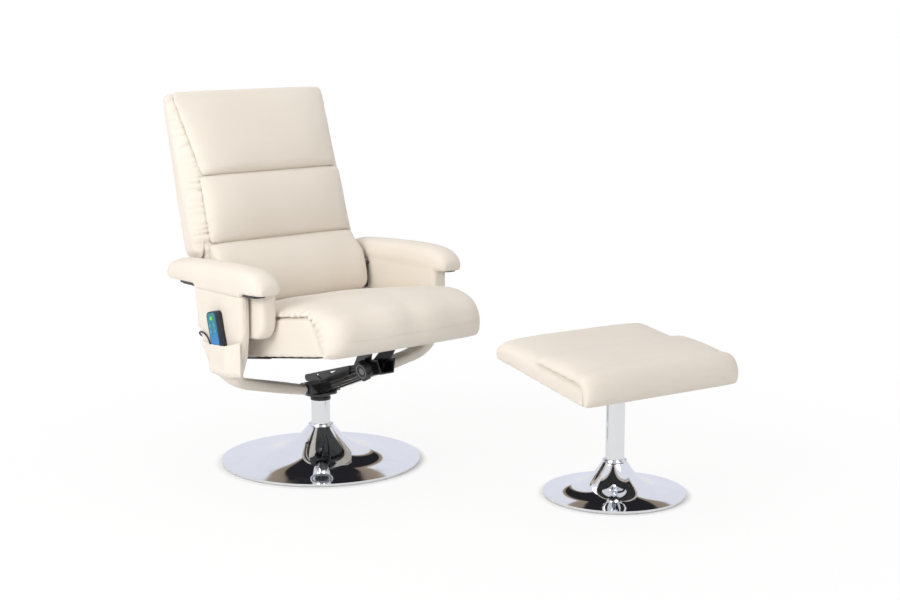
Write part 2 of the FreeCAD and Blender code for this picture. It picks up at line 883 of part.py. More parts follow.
parts["seat_overlay"] = seat_overlay()
pan_top = -soft_gap
pan_low = pan_top - pan_thickness
pan_half = seat_half - pan_margin
pan_wire = rounded_outline(
    seat_point(0, 0, pan_low), X_AXIS, seat_forward,
    (-pan_half, pan_margin), (pan_half, seat_length - 2 * pan_margin), 2 * pan_margin,
)
parts["seat_pan"] = plate(pan_wire, seat_up * pan_thickness)

# Front arm: channel from the hub, its leaning head between the slotted brackets
slot_turn = math.radians(slot_lean)
slot_out = X_AXIS * math.cos(slot_turn) - seat_up * math.sin(slot_turn)
slot_climb = X_AXIS * math.sin(slot_turn) + seat_up * math.cos(slot_turn)
head_low = -head_drop - head_half_height
head_high = -head_drop + head_half_height
head_back = head_reach - head_length / 2


def head_half(rise, inset):
    """Half the head's width at this height, in from the slotted bracket by the inset."""
    lean = (rise + head_drop) * math.tan(slot_turn)
    return head_offset + lean - (soft_gap + inset) / math.cos(slot_turn)


def head_trough(low, high, inset):
    low_half = head_half(low, inset)
    high_half = head_half(high, inset)
    return outline([
        seat_point(-low_half, head_back, low),
        seat_point(low_half, head_back, low),
        seat_point(high_half, head_back, high),
        seat_point(-high_half, head_back, high),
    ])


head_solid = plate(head_trough(head_low, head_high, 0), seat_forward * head_length)
head_hollow = head_trough(head_low + head_wall, head_high + cut_overrun, head_wall)
head_room = plate(head_hollow, seat_forward * head_length)
beam_start = V(0, -tube_half_width, tube_low + arm_beam_depth / 2 + soft_gap)
beam_end = seat_point(0, head_reach, head_low + arm_beam_depth / 2)


def beam_block(half_width, half_depth, drop):
    """Slanted box from the cross tube's face to the head."""
    lift = V(0, 0, half_depth)
    sink = V(0, 0, drop)
    side = X_AXIS * half_width
    wire = outline([
        beam_start + lift - sink - side,
        beam_end + lift - sink - side,
        beam_end - lift - sink - side,
        beam_start - lift - sink - side,
    ])
    return plate(wire, side * 2)


beam = beam_block(arm_beam_width / 2, arm_beam_depth / 2, 0)
beam_room = beam_block(arm_beam_width / 2 - arm_beam_wall, arm_beam_depth / 2, arm_beam_wall)

gusset_far = beam_start + (beam_end - beam_start) * gusset_front_share
gusset_low = V(0, gusset_back_reach - gusset_height / 2, tube_top)
gusset_high = gusset_low + V(0, 0, gusset_height)
gusset_round = gusset_low + V(0, gusset_height / 2, gusset_height / 2)
gusset_heel = V(0, -tube_half_width, tube_top)
gusset_top = gusset_far + V(0, 0, gusset_rise)
gusset_start = X_AXIS * (arm_beam_width / 2)
gusset_wire = outline([point + gusset_start for point in (gusset_heel, gusset_far, gusset_top, gusset_high)]
                      + [(gusset_round + gusset_start, gusset_low + gusset_start)])
gusset_plate = plate(gusset_wire, X_AXIS * gusset_thickness)
window_corners = (gusset_heel, gusset_top, gusset_high)
window_centre = (gusset_heel + gusset_top + gusset_high) / len(window_corners)
window_wire = outline([
    window_centre + (corner - window_centre) * gusset_window_share + gusset_start
    for corner in window_corners
])
gusset_plate = gusset_plate.cut(plate(window_wire, X_AXIS * gusset_thickness))
front_arm = fused([head_solid.cut(head_room), beam.cut(beam_room), gusset_plate, mirrored(gusset_plate)])

# Slotted brackets under the seat pan, the guide bolt on the left and the clamp knob on the right
slot_centre = seat_point(head_offset, head_reach, -head_drop)
slot_top = (head_drop + pan_low) / math.cos(slot_turn)
slot_side = slot_bolt_radius + hole_gap
plate_back = -slide_travel - slot_plate_margin
bracket_plate_wire = outline([
    slot_centre + seat_forward * forward + slot_climb * climb
    for forward, climb in (
        (plate_back, -slot_plate_drop),
        (slot_plate_margin, -slot_plate_drop),
        (slot_plate_margin, slot_plate_shoulder),
        (slot_flange_front, slot_top),
        (-slot_flange_back, slot_top),
        (plate_back, slot_plate_shoulder),
    )
])
slot_plate = plate(bracket_plate_wire, slot_out * slot_plate_thickness)
slot_wire = rounded_outline(
    slot_centre - slot_out * cut_overrun, seat_forward, slot_climb,
    (-slide_travel - 2 * slot_side, -slot_side), (2 * slot_side, slot_side), slot_side - running_gap,
)
slot_room = plate(slot_wire, slot_out * (slot_plate_thickness + 2 * cut_overrun))
flange_inner = head_offset + slot_top * math.sin(slot_turn)
flange_wire = rounded_outline(
    seat_point(0, head_reach, pan_low), X_AXIS, seat_forward,
    (flange_inner - slot_plate_thickness, -slot_flange_back),
    (flange_inner + slot_flange_width, slot_flange_front), slot_plate_thickness,
)
slot_flange = plate(flange_wire, -seat_up * slot_plate_thickness)
slot_bracket = fused([slot_plate.cut(slot_room), slot_flange])
parts["slot_brackets"] = Part.makeCompound([slot_bracket, mirrored(slot_bracket)])

bolt_inside = slot_centre - slot_out * (head_wall + soft_gap)
bolt_outside = slot_centre + slot_out * (slot_plate_thickness + soft_gap)
guide_bolt = fused([
    rod(slot_bolt_radius, bolt_inside, bolt_outside),
    rod(knob_boss_radius, bolt_outside, bolt_outside + slot_out * knob_boss_height),
])
bolt_hole = rod(
    slot_bolt_radius + running_gap,
    bolt_inside - slot_out * cut_overrun,
    bolt_outside + slot_out * cut_overrun,
)
parts["front_arm"] = front_arm.cut(bolt_hole).cut(mirrored(bolt_hole))
parts["slot_guide_bolt"] = guide_bolt

knob_low = bolt_outside + slot_out * knob_boss_height
knob_top = knob_low + slot_out * knob_thickness
knob_body = fused([rod(knob_boss_radius, bolt_outside, knob_low), rod(knob_radius, knob_low, knob_top)])
for index in range(knob_lobe_count):
    turn = 2 * math.pi * index / knob_lobe_count
    sideways = seat_forward * math.cos(turn) + slot_climb * math.sin(turn)
    reach = sideways * (knob_radius + knob_lobe_radius - knob_lobe_depth)
    groove_low = knob_low + reach - slot_out * cut_overrun
    groove_top = knob_top + reach + slot_out * cut_overrun
    knob_body = knob_body.cut(rod(knob_lobe_radius, groove_low, groove_top))
face_floor = knob_top - slot_out * knob_face_inset
knob_body = knob_body.cut(rod(knob_face_radius, face_floor, knob_top + slot_out * cut_overrun))
screw_end = knob_low + slot_out * (knob_thickness / 2)
knob_body = knob_body.cut(rod(slot_bolt_radius, bolt_outside - slot_out * cut_overrun, screw_end))
parts["lock_knob"] = mirrored(knob_body)
parts["clamp_screw"] = mirrored(rod(slot_bolt_radius, bolt_inside, screw_end))

# Back: steel tube loop in a padded shell, with three cushions on its face
back_turn = math.radians(back_lean)
back_climb = V(0, math.sin(back_turn), math.cos(back_turn))
back_depth = V(0, -math.cos(back_turn), math.sin(back_turn))
back_foot = V(0, back_foot_back, hoop_top - back_foot_drop)


def back_point(x, climb, depth):
    return back_foot + X_AXIS * x + back_climb * climb + back_depth * depth


def shell_front(climb):
    """Depth of the shell's face, which thins towards the top."""
    over = max(climb - shell_taper_climb, 0) / (back_height - shell_taper_climb)
    return shell_depth + (shell_top_depth - shell_depth) * over


def shell_section(climb, half, share, rear, edge_share, bevel_share):
    """Section of the shell: rear corners rounded, front corners bevelled back to the side edge."""
    front = shell_front(climb)
    inset = (front + rear) * (1 - share) / 2
    low = inset - rear
    high = front - inset
    edge = low + (high - low) * edge_share
    corner = shell_corner * share
    bend = corner * (1 - math.sqrt(0.5))
    inner = half - shell_bevel * bevel_share

    def at(x, depth):
        return back_point(x, climb, depth)

    return outline([
        at(half - corner, low),
        (at(half - bend, low + bend), at(half, low + corner)),
        at(half, edge),
        at(inner, high),
        at(-inner, high),
        at(-half, edge),
        at(-half, low + corner),
        (at(bend - half, low + bend), at(corner - half, low)),
    ])


def back_shell():
    stations = (
        (back_foot_climb, waist_half - shell_round_climb, shell_end_share),
        (back_foot_climb + shell_round_climb, waist_half, 1),
        (waist_climb, waist_half, 1),
        (shoulder_climb, shell_half_width, 1),
        (shell_middle_climb, shell_half_width, 1),
        (shell_taper_climb, shell_half_width, 1),
        (shell_upper_climb, shell_half_width, 1),
        (back_height - shell_round_climb, shell_half_width, 1),
        (back_height, shell_half_width - shell_round_climb, shell_end_share),
    )
    wires = []
    shares = zip(shell_bow_shares, shell_edge_shares, shell_bevel_shares)
    for (climb, half, share), (bow_share, edge_share, bevel_share) in zip(stations, shares):
        wires.append(shell_section(climb, half, share, shell_bow * bow_share, edge_share, bevel_share))
    return Part.makeLoft(wires, True, True)


def back_loop(radius):
    """Bent tube loop, whose lowest bar hangs below the shell."""
    foot = back_point(0, back_tube_foot_climb, back_tube_foot_depth)
    top = back_point(0, back_tube_top_climb, back_tube_top_depth)
    along = (top - foot).normalize()
    length = (top - foot).Length
    half = back_tube_half_width
    path = rounded_outline(foot, X_AXIS, along, (-half, 0), (half, length), back_tube_bend)
    middle = foot + X_AXIS * half + along * (length / 2)
    section = Part.Wire(Part.makeCircle(radius, middle, along))
    edges = Part.__sortEdges__(path.Edges)
    start = next(i for i, e in enumerate(edges) if e.distToShape(Part.Vertex(middle))[0] < running_gap)
    long_run = edges[start]
    ends = [vertex.Point for vertex in long_run.Vertexes]
    halves = [Part.makeLine(middle, ends[1]), Part.makeLine(ends[0], middle)]
    others = edges[start + 1:] + edges[:start]
    spine = Part.Wire(Part.__sortEdges__([halves[0]] + others + [halves[1]]))
    return spine.makePipeShell([section], True, False)


back_shell_solid = back_shell().cut(back_loop(back_tube_radius + soft_gap))
back_motors = []
for climb in back_motor_climbs:
    for side in (-1, 1):
        face = back_point(side * back_motor_spread, climb, shell_depth)
        back_motors.append(rod(motor_radius, face, face - back_depth * motor_height))
        room_floor = face - back_depth * (motor_height + soft_gap)
        back_shell_solid = back_shell_solid.cut(
            rod(motor_radius + soft_gap, room_floor, face + back_depth * cut_overrun)
        )
parts["back_frame"] = back_loop(back_tube_radius)
parts["back_shell"] = back_shell_solid
parts["back_motors"] = Part.makeCompound(back_motors)


def pillow(
    half_width, foot_share, foot, top, foot_rest, top_rest, foot_depth, top_depth, foot_nose, top_nose
):
    """Back cushion between two climbs, crowned in front of the line that it rests on."""
    low_nose = (foot + foot_nose, foot_depth)
    high_nose = (top - top_nose, top_depth)
    near, far = cushion_nose_shares
    crown = (
        (low_nose[0] + high_nose[0]) / 2,
        (low_nose[1] + high_nose[1]) / 2 + cushion_crown,
    )
    shape = [
        (foot, 0),
        (foot + foot_nose * near, foot_depth * far) + low_nose,
        crown + high_nose,
        (top - top_nose * near, top_depth * far, top, 0),
    ]
    anchor = ((foot + top) / 2, 0)
    lean = (top_rest - foot_rest) / (top - foot)

    def on_rest(x, climb, depth):
        narrowing = (1 - foot_share) * (top - climb) / (top - foot)
        return back_point(x * (1 - narrowing), climb, foot_rest + lean * (climb - foot) + depth)

    stations = side_stations(half_width, cushion_side_shares)
    return cushion_loft(shape, anchor, stations, on_rest, False)


head_top = back_height - head_top_margin
parts["head_cushion"] = pillow(
    head_half_width, head_foot_width_share, head_foot_climb, head_top,
    shell_front(head_foot_climb) + soft_gap, shell_front(head_top) + soft_gap,
    head_foot_depth, head_top_depth, head_foot_nose, head_top_nose,
)
middle_rest = shell_depth + soft_gap
parts["middle_cushion"] = pillow(
    cushion_half_width, 1, middle_foot_climb, middle_top_climb, middle_rest, middle_rest,
    middle_depth, middle_depth, middle_nose, middle_nose,
)
lumbar_rest = shell_depth + heat_pad_thickness + 2 * soft_gap
parts["lumbar_cushion"] = pillow(
    waist_half - lumbar_side_gap, 1, lumbar_foot_climb, lumbar_top_climb, lumbar_rest, lumbar_rest,
    lumbar_foot_depth, lumbar_top_depth, lumbar_foot_nose, lumbar_top_nose,
)
heat_half = (heat_pad_width / 2, heat_pad_height / 2)
heat_centre = back_point(0, (lumbar_foot_climb + lumbar_top_climb) / 2, shell_depth + soft_gap)
heat_wire = rounded_outline(
    heat_centre, X_AXIS, back_climb, (-heat_half[0], -heat_half[1]), heat_half, shell_corner
)
parts["heat_pad"] = plate(heat_wire, back_depth * heat_pad_thickness)


# Links from the seat pan to the back's lowest bar
link_spread = back_tube_half_width - back_tube_bend - link_thickness - link_bend_gap


def seat_link():
    eye = back_point(0, back_tube_foot_climb, back_tube_foot_depth) + X_AXIS * link_spread
    half = link_height / 2
    rise = pan_low - half
    elbow_reach = -(eye.y - seat_back_reach) / 2 - half
    front = seat_point(link_spread, pan_margin + link_grip, rise)
    elbow = seat_point(link_spread, elbow_reach, rise)
    across = X_AXIS * link_thickness
    eye_radius = back_tube_radius + link_hole_gap
    lug = fused([
        bar(front, elbow, half, across),
        bar(elbow, eye, half, across),
        rod(eye_radius + link_eye_wall, eye, eye + across),
    ])
    return lug.cut(rod(eye_radius, eye - X_AXIS * cut_overrun, eye + across + X_AXIS * cut_overrun))


link = seat_link()
parts["seat_links"] = Part.makeCompound([link, mirrored(link)])

# Handset: two shells, a printed face, its board and buttons
mouth_z = hub_z + mouth_height
handset_turn = math.radians(handset_lean)
handset_up = V(0, math.sin(handset_turn), math.cos(handset_turn))
handset_across = V(0, math.cos(handset_turn), -math.sin(handset_turn))
handset_out = V(-1, 0, 0)
handset_back_gap = (pocket_bulge - pocket_wall - handset_thickness) / 2
handset_mouth = V(-hoop_outer - handset_back_gap, -handset_mouth_reach, mouth_z)
handset_foot = handset_mouth + handset_up * (handset_above_mouth - handset_length)


def handset_point(across, up, out):
    return handset_foot + handset_across * across + handset_up * up + handset_out * out


def handset_slab(margin, low, high, corner):
    half = handset_width / 2 - margin
    wire = rounded_outline(
        handset_point(0, 0, low), handset_across, handset_up,
        (-half, margin), (half, handset_length - margin), corner,
    )
    return plate(wire, handset_out * (high - low))


handset_split = handset_thickness * handset_split_share
face_low = handset_thickness - face_thickness
inner_corner = handset_corner - handset_wall
back_half = handset_slab(0, 0, handset_split, handset_corner)
back_room = handset_slab(handset_wall, handset_wall, handset_split + cut_overrun, inner_corner)
back_half = back_half.cut(back_room)
board_half = handset_width / 2 - post_inset
for across in (-board_half, board_half):
    for up in (post_inset, handset_length - post_inset):
        post = rod(post_radius, handset_point(across, up, 0), handset_point(across, up, board_height))
        back_half = back_half.fuse(post)
front_half = handset_slab(0, handset_split, face_low, handset_corner)
front_room_top = face_low - handset_wall
front_half = front_half.cut(
    handset_slab(handset_wall, handset_split - cut_overrun, front_room_top, inner_corner)
)
face = handset_slab(face_margin, face_low, handset_thickness, handset_corner - face_margin)
board_top = board_height + board_thickness
button_rows = (
    ("power_button", power_radius, 0, power_drop),
    ("mode_button", button_radius, -button_column, first_row_drop),
    ("speed_button", button_radius, button_column, first_row_drop),
    ("heat_button", button_radius, -button_column, second_row_drop),
    ("timer_button", button_radius, button_column, second_row_drop),
)
for name, radius, across, drop in button_rows:
    up = handset_length - drop
    hole_top = handset_point(across, up, handset_thickness + cut_overrun)
    hole = rod(radius + hole_gap, handset_point(across, up, 0), hole_top)
    front_half = front_half.cut(hole)
    face = face.cut(hole)
    stem = rod(
        radius,
        handset_point(across, up, board_top + button_under_gap),
        handset_point(across, up, handset_thickness + button_proud),
    )
    flange_top = front_room_top - hole_gap
    flange = rod(
        radius + button_flange,
        handset_point(across, up, flange_top - button_flange_thickness),
        handset_point(across, up, flange_top),
    )
    parts[name] = fused([stem, flange])
parts["handset_back"] = back_half.removeSplitter()
parts["handset_front"] = front_half
parts["handset_face"] = face
parts["handset_board"] = handset_slab(board_margin, board_height, board_top, inner_corner)


# Pocket on the right hoop's outer face
def pocket_solid(inset, overrun):
    """The pouch's outer form, or with an inset its hollow, open at the mouth and to the hoop."""
    run = pocket_front + pocket_back
    last = len(pocket_station_shares) - 1
    wires = []
    for index, (share, bulge_share, depth_share, rise_share) in enumerate(pocket_station_shares):
        y = share * run - pocket_front
        if index == 0:
            y += inset
        if index == last:
            y -= inset
        base = -hoop_outer - soft_gap + overrun
        out = base - overrun - (pocket_bulge * bulge_share - inset)
        top = mouth_z + pocket_depth * rise_share + overrun
        low = mouth_z - pocket_depth * depth_share + inset
        knee = low + (mouth_z - low) * (1 - pocket_round_share)
        belly = out + (base - out) * (1 - pocket_round_share) / 2
        wires.append(outline([
            V(base, y, top),
            V(out, y, top),
            V(out, y, knee),
            (V(belly, y, low + (knee - low) * (1 - pocket_round_share)), V(base, y, low)),
        ]))
    return Part.makeLoft(wires, True, True)


parts["handset_pocket"] = pocket_solid(0, 0).cut(pocket_solid(pocket_wall, cut_overrun))

# Control box inside the right hoop, with its inlet and the cord's gland
box_outer = -hoop_inner + soft_gap
box_middle = V(box_outer + control_box_thickness / 2, control_box_back, hub_z + control_box_rise)
box_half = (control_box_thickness / 2, control_box_height / 2)
box_wire = rounded_outline(
    box_middle, X_AXIS, Z_AXIS, (-box_half[0], -box_half[1]), box_half, control_box_corner
)
inlet_top = box_middle - V(0, control_box_length * inlet_share, box_half[1])
inlet_low = inlet_top - V(0, 0, inlet_length)
inlet = rod(inlet_radius, inlet_top, inlet_low)
inlet = inlet.cut(rod(inlet_bore, inlet_top, inlet_low - V(0, 0, cut_overrun)))
parts["control_box"] = fused([plate(box_wire, -Y_AXIS * control_box_length), inlet])
gland_waist = box_middle + Y_AXIS * gland_length
gland_end = gland_waist + Y_AXIS * gland_tail
gland_cone = Part.makeCone(gland_radius, cord_radius + soft_gap, gland_tail, gland_waist, Y_AXIS)
parts["cord_gland"] = fused([rod(gland_radius, box_middle, gland_waist), gland_cone])


# Handset cord: straight runs joined by tangent arcs
def cord_tube(points, radius):
    edges = []
    radii = []
    start = points[0]
    for before, corner, after in zip(points, points[1:], points[2:]):
        back = before - corner
        ahead = after - corner
        trim = cord_radius_share * min(back.Length, ahead.Length)
        back.normalize()
        ahead.normalize()
        turn = math.pi - back.getAngle(ahead)
        bend = trim / math.tan(turn / 2)
        radii.append(bend)
        entry = corner + back * trim
        leave = corner + ahead * trim
        inward = (back + ahead).normalize()
        centre = corner + inward * (bend / math.cos(turn / 2))
        edges.append(Part.makeLine(start, entry))
        edges.append(Part.Arc(entry, centre - inward * bend, leave).toShape())
        start = leave
    edges.append(Part.makeLine(start, points[-1]))
    spine = Part.Wire(edges)
    section = Part.Wire(Part.makeCircle(radius, points[0], points[1] - points[0]))
    tube = spine.makePipeShell([section], True, False)
    ideal = math.pi * radius ** 2 * spine.Length
    print("cord radii from %.1f, length %.1f, volume over section times length %.4f"
          % (min(radii), spine.Length, tube.Volume / ideal))
    return tube


cord_datum = V(-hoop_outer, 0, hub_z)
cord_start = handset_point(0, 0, handset_thickness / 2)
cord_points = [cord_start, cord_start - handset_up * cord_lead]
cord_points += [cord_datum + V(*spot) for spot in cord_route]
cord_points += [gland_end + Y_AXIS * cord_lead, gland_end]
parts["handset_cord"] = cord_tube(cord_points, cord_radius)

# Footstool: its own round base, a tilted board, the pad and the overlay on its front
stool_lean = stool_column_radius * math.tan(math.radians(stool_tilt))
stool_tube_length = stool_column_length + stool_lean
stool_tube_top = round_base(
    "stool_", stool_disc_radius, stool_neck_radius, stool_neck_height,
    stool_column_radius, stool_tube_length,
)
stool_forward, stool_up = tilted(-stool_tilt)
stool_centre = V(0, 0, stool_tube_top - stool_lean)


def stool_point(x, reach, rise):
    return stool_centre + X_AXIS * x + stool_forward * reach + stool_up * rise


def stool_slab(half_width, half_depth, corner, low, high):
    wire = rounded_outline(
        stool_point(0, 0, low), X_AXIS, stool_forward,
        (-half_width, -half_depth), (half_width, half_depth), corner,
    )
    return plate(wire, stool_up * (high - low))


plate_half = stool_plate_size / 2
stool_half = stool_width / 2
stool_reach = stool_depth / 2
board_low = stool_plate_thickness
board_high = board_low + stool_board_thickness
above_plate = stool_slab(plate_half, plate_half, stool_board_margin, 0, stool_plate_size)
stool_plate = stool_slab(plate_half, plate_half, stool_board_margin, 0, board_low)
parts["stool_column"] = fused([parts["stool_column"].cut(above_plate), stool_plate])
board_half = stool_half - stool_board_margin
board_reach = stool_reach - stool_board_margin
parts["stool_board"] = stool_slab(board_half, board_reach, stool_board_margin, board_low, board_high)
board_room = stool_slab(
    board_half + soft_gap, board_reach + soft_gap,
    stool_board_margin + soft_gap, board_low - cut_overrun, board_high + soft_gap,
)
pad_low = board_low
pad_back = pad_low + stool_pad_back_height
pad_front = pad_low + stool_pad_height
back_nose = stool_pad_back_height / 2
pad_front_reach = stool_reach - stool_overlay_reach
pad_brow_reach = pad_front_reach - stool_overlay_reach
stool_shape = [
    (pad_front_reach, pad_low),
    (pad_brow_reach, pad_front),
    (back_nose - stool_reach, pad_back),
    (-stool_reach, pad_low + back_nose, back_nose - stool_reach, pad_low),
]
stool_pad_stations = side_stations(stool_half, stool_side_shares)
stool_cushion = cushion_loft(stool_shape, (0, pad_low), stool_pad_stations, stool_point, False)
parts["stool_pad"] = stool_cushion.cut(board_room)


def stool_overlay():
    """Top pad over the front, drawn a little into the pad below and then cut to it."""
    heel_reach = stool_reach - stool_depth * stool_overlay_share
    slope = (pad_front - pad_back) / (pad_brow_reach + stool_reach - back_nose)

    def top_line(reach):
        return pad_back + slope * (reach + stool_reach - back_nose)

    top_reach = pad_brow_reach - 2 * stool_overlay_reach
    bases = [
        (pad_front_reach, pad_low),
        (pad_front_reach, (pad_low + pad_front) / 2),
        (pad_brow_reach, pad_front),
        (pad_brow_reach, pad_front),
        (top_reach, top_line(top_reach)),
        ((top_reach + heel_reach) / 2, top_line((top_reach + heel_reach) / 2)),
        (heel_reach, top_line(heel_reach)),
    ]
    wires = []
    for x, fullness in side_stations(stool_half, stool_overlay_side_shares):
        crest = []
        for (reach, rise), (forward, up) in zip(bases, stool_crest_shares):
            a = reach + stool_overlay_reach * forward * fullness
            b = rise + stool_overlay_height * up * fullness - stool_overlay_sink * (1 - fullness)
            crest.append(stool_point(x, a, max(b, pad_low)))
        tuck, nose, brow, bulge, top, middle, heel = crest
        sunk = stool_overlay_sink * (2 - fullness)
        wires.append(outline([
            stool_point(x, heel_reach, top_line(heel_reach) - sunk),
            stool_point(x, pad_brow_reach - sunk, pad_front - sunk),
            stool_point(x, pad_front_reach - sunk, pad_low),
            tuck,
            (nose, brow),
            (bulge, top),
            (middle, heel),
        ]))
    return Part.makeLoft(wires, True, False)


parts["stool_overlay"] = stool_overlay().cut(stool_cushion)
for name, shape in parts.items():
    if name.startswith("stool_"):
        shape.rotate(V(0, 0, 0), Z_AXIS, stool_yaw)
        shape.translate(V(stool_x, stool_y, 0))

os.makedirs("parts", exist_ok=True)
for name, shape in parts.items():
    shape.exportStep(os.path.join("parts", name + ".step"))
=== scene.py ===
import math

import bpy
import numpy as np
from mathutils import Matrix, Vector, noise


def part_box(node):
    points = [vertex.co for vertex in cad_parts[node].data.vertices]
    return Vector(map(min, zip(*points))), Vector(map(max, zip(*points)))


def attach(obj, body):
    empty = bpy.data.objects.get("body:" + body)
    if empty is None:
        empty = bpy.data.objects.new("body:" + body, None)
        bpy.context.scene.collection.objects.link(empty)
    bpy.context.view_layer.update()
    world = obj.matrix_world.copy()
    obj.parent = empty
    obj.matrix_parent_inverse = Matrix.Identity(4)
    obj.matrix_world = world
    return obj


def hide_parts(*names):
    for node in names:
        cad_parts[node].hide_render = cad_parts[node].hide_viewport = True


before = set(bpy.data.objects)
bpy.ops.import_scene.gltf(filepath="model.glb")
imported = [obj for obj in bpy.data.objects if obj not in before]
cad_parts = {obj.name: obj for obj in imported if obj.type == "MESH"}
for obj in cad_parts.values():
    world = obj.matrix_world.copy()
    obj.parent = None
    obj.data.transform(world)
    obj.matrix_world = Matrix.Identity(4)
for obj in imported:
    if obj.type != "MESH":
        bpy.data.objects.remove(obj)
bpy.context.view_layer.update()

# The studio: a white sweep on which the set stands, one broad soft light at the sitter's right,
# weaker ones in front and above, and a lens at the photograph's height and angle.
floor_size = 60.0
floor_drop = 0.0006
floor_centre = (0.19, -0.36)
shadow_reach = 1.7
chair_spot = (0, 0)
stool_spot = (0.377, -0.764)
contact_share = 0.30
sweep_near = 0.89
mirror_loss = 0.17
camera_place = (-2.724, -3.682, 1.27)
camera_yaw = 40.99
camera_pitch = 10.16
camera_lens = 67.6


def clear_selection():
    """Leaves object mode with nothing selected, so that an operator touches only what is picked next."""
    if bpy.context.object and bpy.context.object.mode != "OBJECT":
        bpy.ops.object.mode_set(mode="OBJECT")
    bpy.ops.object.select_all(action="DESELECT")


def pick(piece):
    """Makes one piece the selected and active one."""
    clear_selection()
    piece.select_set(True)
    bpy.context.view_layer.objects.active = piece


def plain_material(name):
    """A material with its shader and its output, ready for the piece's own nodes."""
    material = bpy.data.materials.new(name)
    material.use_nodes = True
    tree = material.node_tree
    return material, tree.nodes, tree.links, tree.nodes["Principled BSDF"]


clear_selection()
bpy.ops.mesh.primitive_plane_add(size=floor_size, location=(0, 0, -floor_drop))
studio_floor = bpy.context.object
studio_floor.name = "studio_floor"
bpy.ops.object.transform_apply(location=True)
floor_white, nodes, links, shader = plain_material("studio_white")
shader.inputs["Base Color"].default_value = (0.86, 0.86, 0.86, 1)
shader.inputs["Roughness"].default_value = 0.7
shader.inputs["Specular IOR Level"].default_value = 0.1
glow = nodes.new("ShaderNodeEmission")
rays = nodes.new("ShaderNodeLightPath")
mirror_dim = nodes.new("ShaderNodeMath")
mirror_dim.operation = "MULTIPLY_ADD"
mirror_dim.inputs[1].default_value = -mirror_loss
mirror_dim.inputs[2].default_value = 1.0
links.new(rays.outputs["Is Glossy Ray"], mirror_dim.inputs[0])
links.new(mirror_dim.outputs[0], glow.inputs["Strength"])
seen = nodes.new("ShaderNodeMath")
seen.operation = "MAXIMUM"
links.new(rays.outputs["Is Camera Ray"], seen.inputs[0])
links.new(rays.outputs["Is Glossy Ray"], seen.inputs[1])
spot = nodes.new("ShaderNodeTexCoord")


def floor_fade(place, near, far, near_share, far_share):
    """How white the floor glows, by the distance from one place on it."""
    away = nodes.new("ShaderNodeVectorMath")
    away.operation = "DISTANCE"
    away.inputs[1].default_value = (place[0], place[1], -floor_drop)
    links.new(spot.outputs["Object"], away.inputs[0])
    fade = nodes.new("ShaderNodeMapRange")
    fade.interpolation_type = "SMOOTHSTEP"
    fade.inputs["From Min"].default_value = near
    fade.inputs["From Max"].default_value = far
    fade.inputs["To Min"].default_value = near_share
    fade.inputs["To Max"].default_value = far_share
    links.new(away.outputs["Value"], fade.inputs["Value"])
    return fade.outputs["Result"]


chair_rim = floor_fade(chair_spot, near=0.274, far=0.300, near_share=contact_share, far_share=1.0)
stool_rim = floor_fade(stool_spot, near=0.184, far=0.206, near_share=contact_share, far_share=1.0)
broad_shade = floor_fade(floor_centre, near=0.5, far=shadow_reach, near_share=sweep_near, far_share=1.0)
rims = nodes.new("ShaderNodeMath")
rims.operation = "MULTIPLY"
links.new(chair_rim, rims.inputs[0])
links.new(stool_rim, rims.inputs[1])
sweep_share = nodes.new("ShaderNodeMath")
sweep_share.operation = "MULTIPLY"
links.new(broad_shade, sweep_share.inputs[0])
links.new(rims.outputs[0], sweep_share.inputs[1])
share = nodes.new("ShaderNodeMath")
share.operation = "MULTIPLY"
links.new(seen.outputs[0], share.inputs[0])
links.new(sweep_share.outputs[0], share.inputs[1])
sweep = nodes.new("ShaderNodeMixShader")
links.new(share.outputs[0], sweep.inputs["Fac"])
links.new(shader.outputs[0], sweep.inputs[1])
links.new(glow.outputs[0], sweep.inputs[2])
links.new(sweep.outputs[0], nodes["Material Output"].inputs["Surface"])
studio_floor.data.materials.append(floor_white)

# What polished metal mirrors: a pale room, and behind each round base a dark wedge edged with brown.
view_side = (0.755, -0.656, 0)
view_ahead = (0.656, 0.755, 0)
chair_side = -0.069
stool_side = 0.102
dark_narrowing = 3.0
behind_fall = -4.0
behind_start = -0.4
pale_end = (0.80, 0.81, 0.89, 1)
black_end = (0.02, 0.02, 0.024, 1)
mirror_tones = (
    (0.184, (0.78, 0.79, 0.86, 1)),
    (0.198, (0.32, 0.26, 0.20, 1)),
    (0.254, (0.26, 0.21, 0.17, 1)),
    (0.268, (0.018, 0.017, 0.02, 1)),
)
world = bpy.data.worlds.new("studio_air")
bpy.context.scene.world = world
world.use_nodes = True
nodes = world.node_tree.nodes
links = world.node_tree.links
room = nodes["Background"]
room.inputs["Color"].default_value = (1.0, 0.985, 0.965, 1)
room.inputs["Strength"].default_value = 0.55
white = nodes.new("ShaderNodeBackground")
white.inputs["Color"].default_value = (1, 1, 1, 1)
white.inputs["Strength"].default_value = 1.0
rays = nodes.new("ShaderNodeLightPath")
look = nodes.new("ShaderNodeTexCoord")
parts_of_look = nodes.new("ShaderNodeSeparateXYZ")
links.new(look.outputs["Generated"], parts_of_look.inputs[0])
sideways = nodes.new("ShaderNodeVectorMath")
sideways.operation = "DOT_PRODUCT"
sideways.inputs[1].default_value = view_side
links.new(look.outputs["Generated"], sideways.inputs[0])


def side_gap(centre):
    """How far a mirrored look lies to either side of one base's own direction."""
    shift = nodes.new("ShaderNodeMath")
    shift.operation = "SUBTRACT"
    shift.inputs[1].default_value = centre
    links.new(sideways.outputs["Value"], shift.inputs[0])
    gap = nodes.new("ShaderNodeMath")
    gap.operation = "ABSOLUTE"
    links.new(shift.outputs[0], gap.inputs[0])
    return gap.outputs[0]


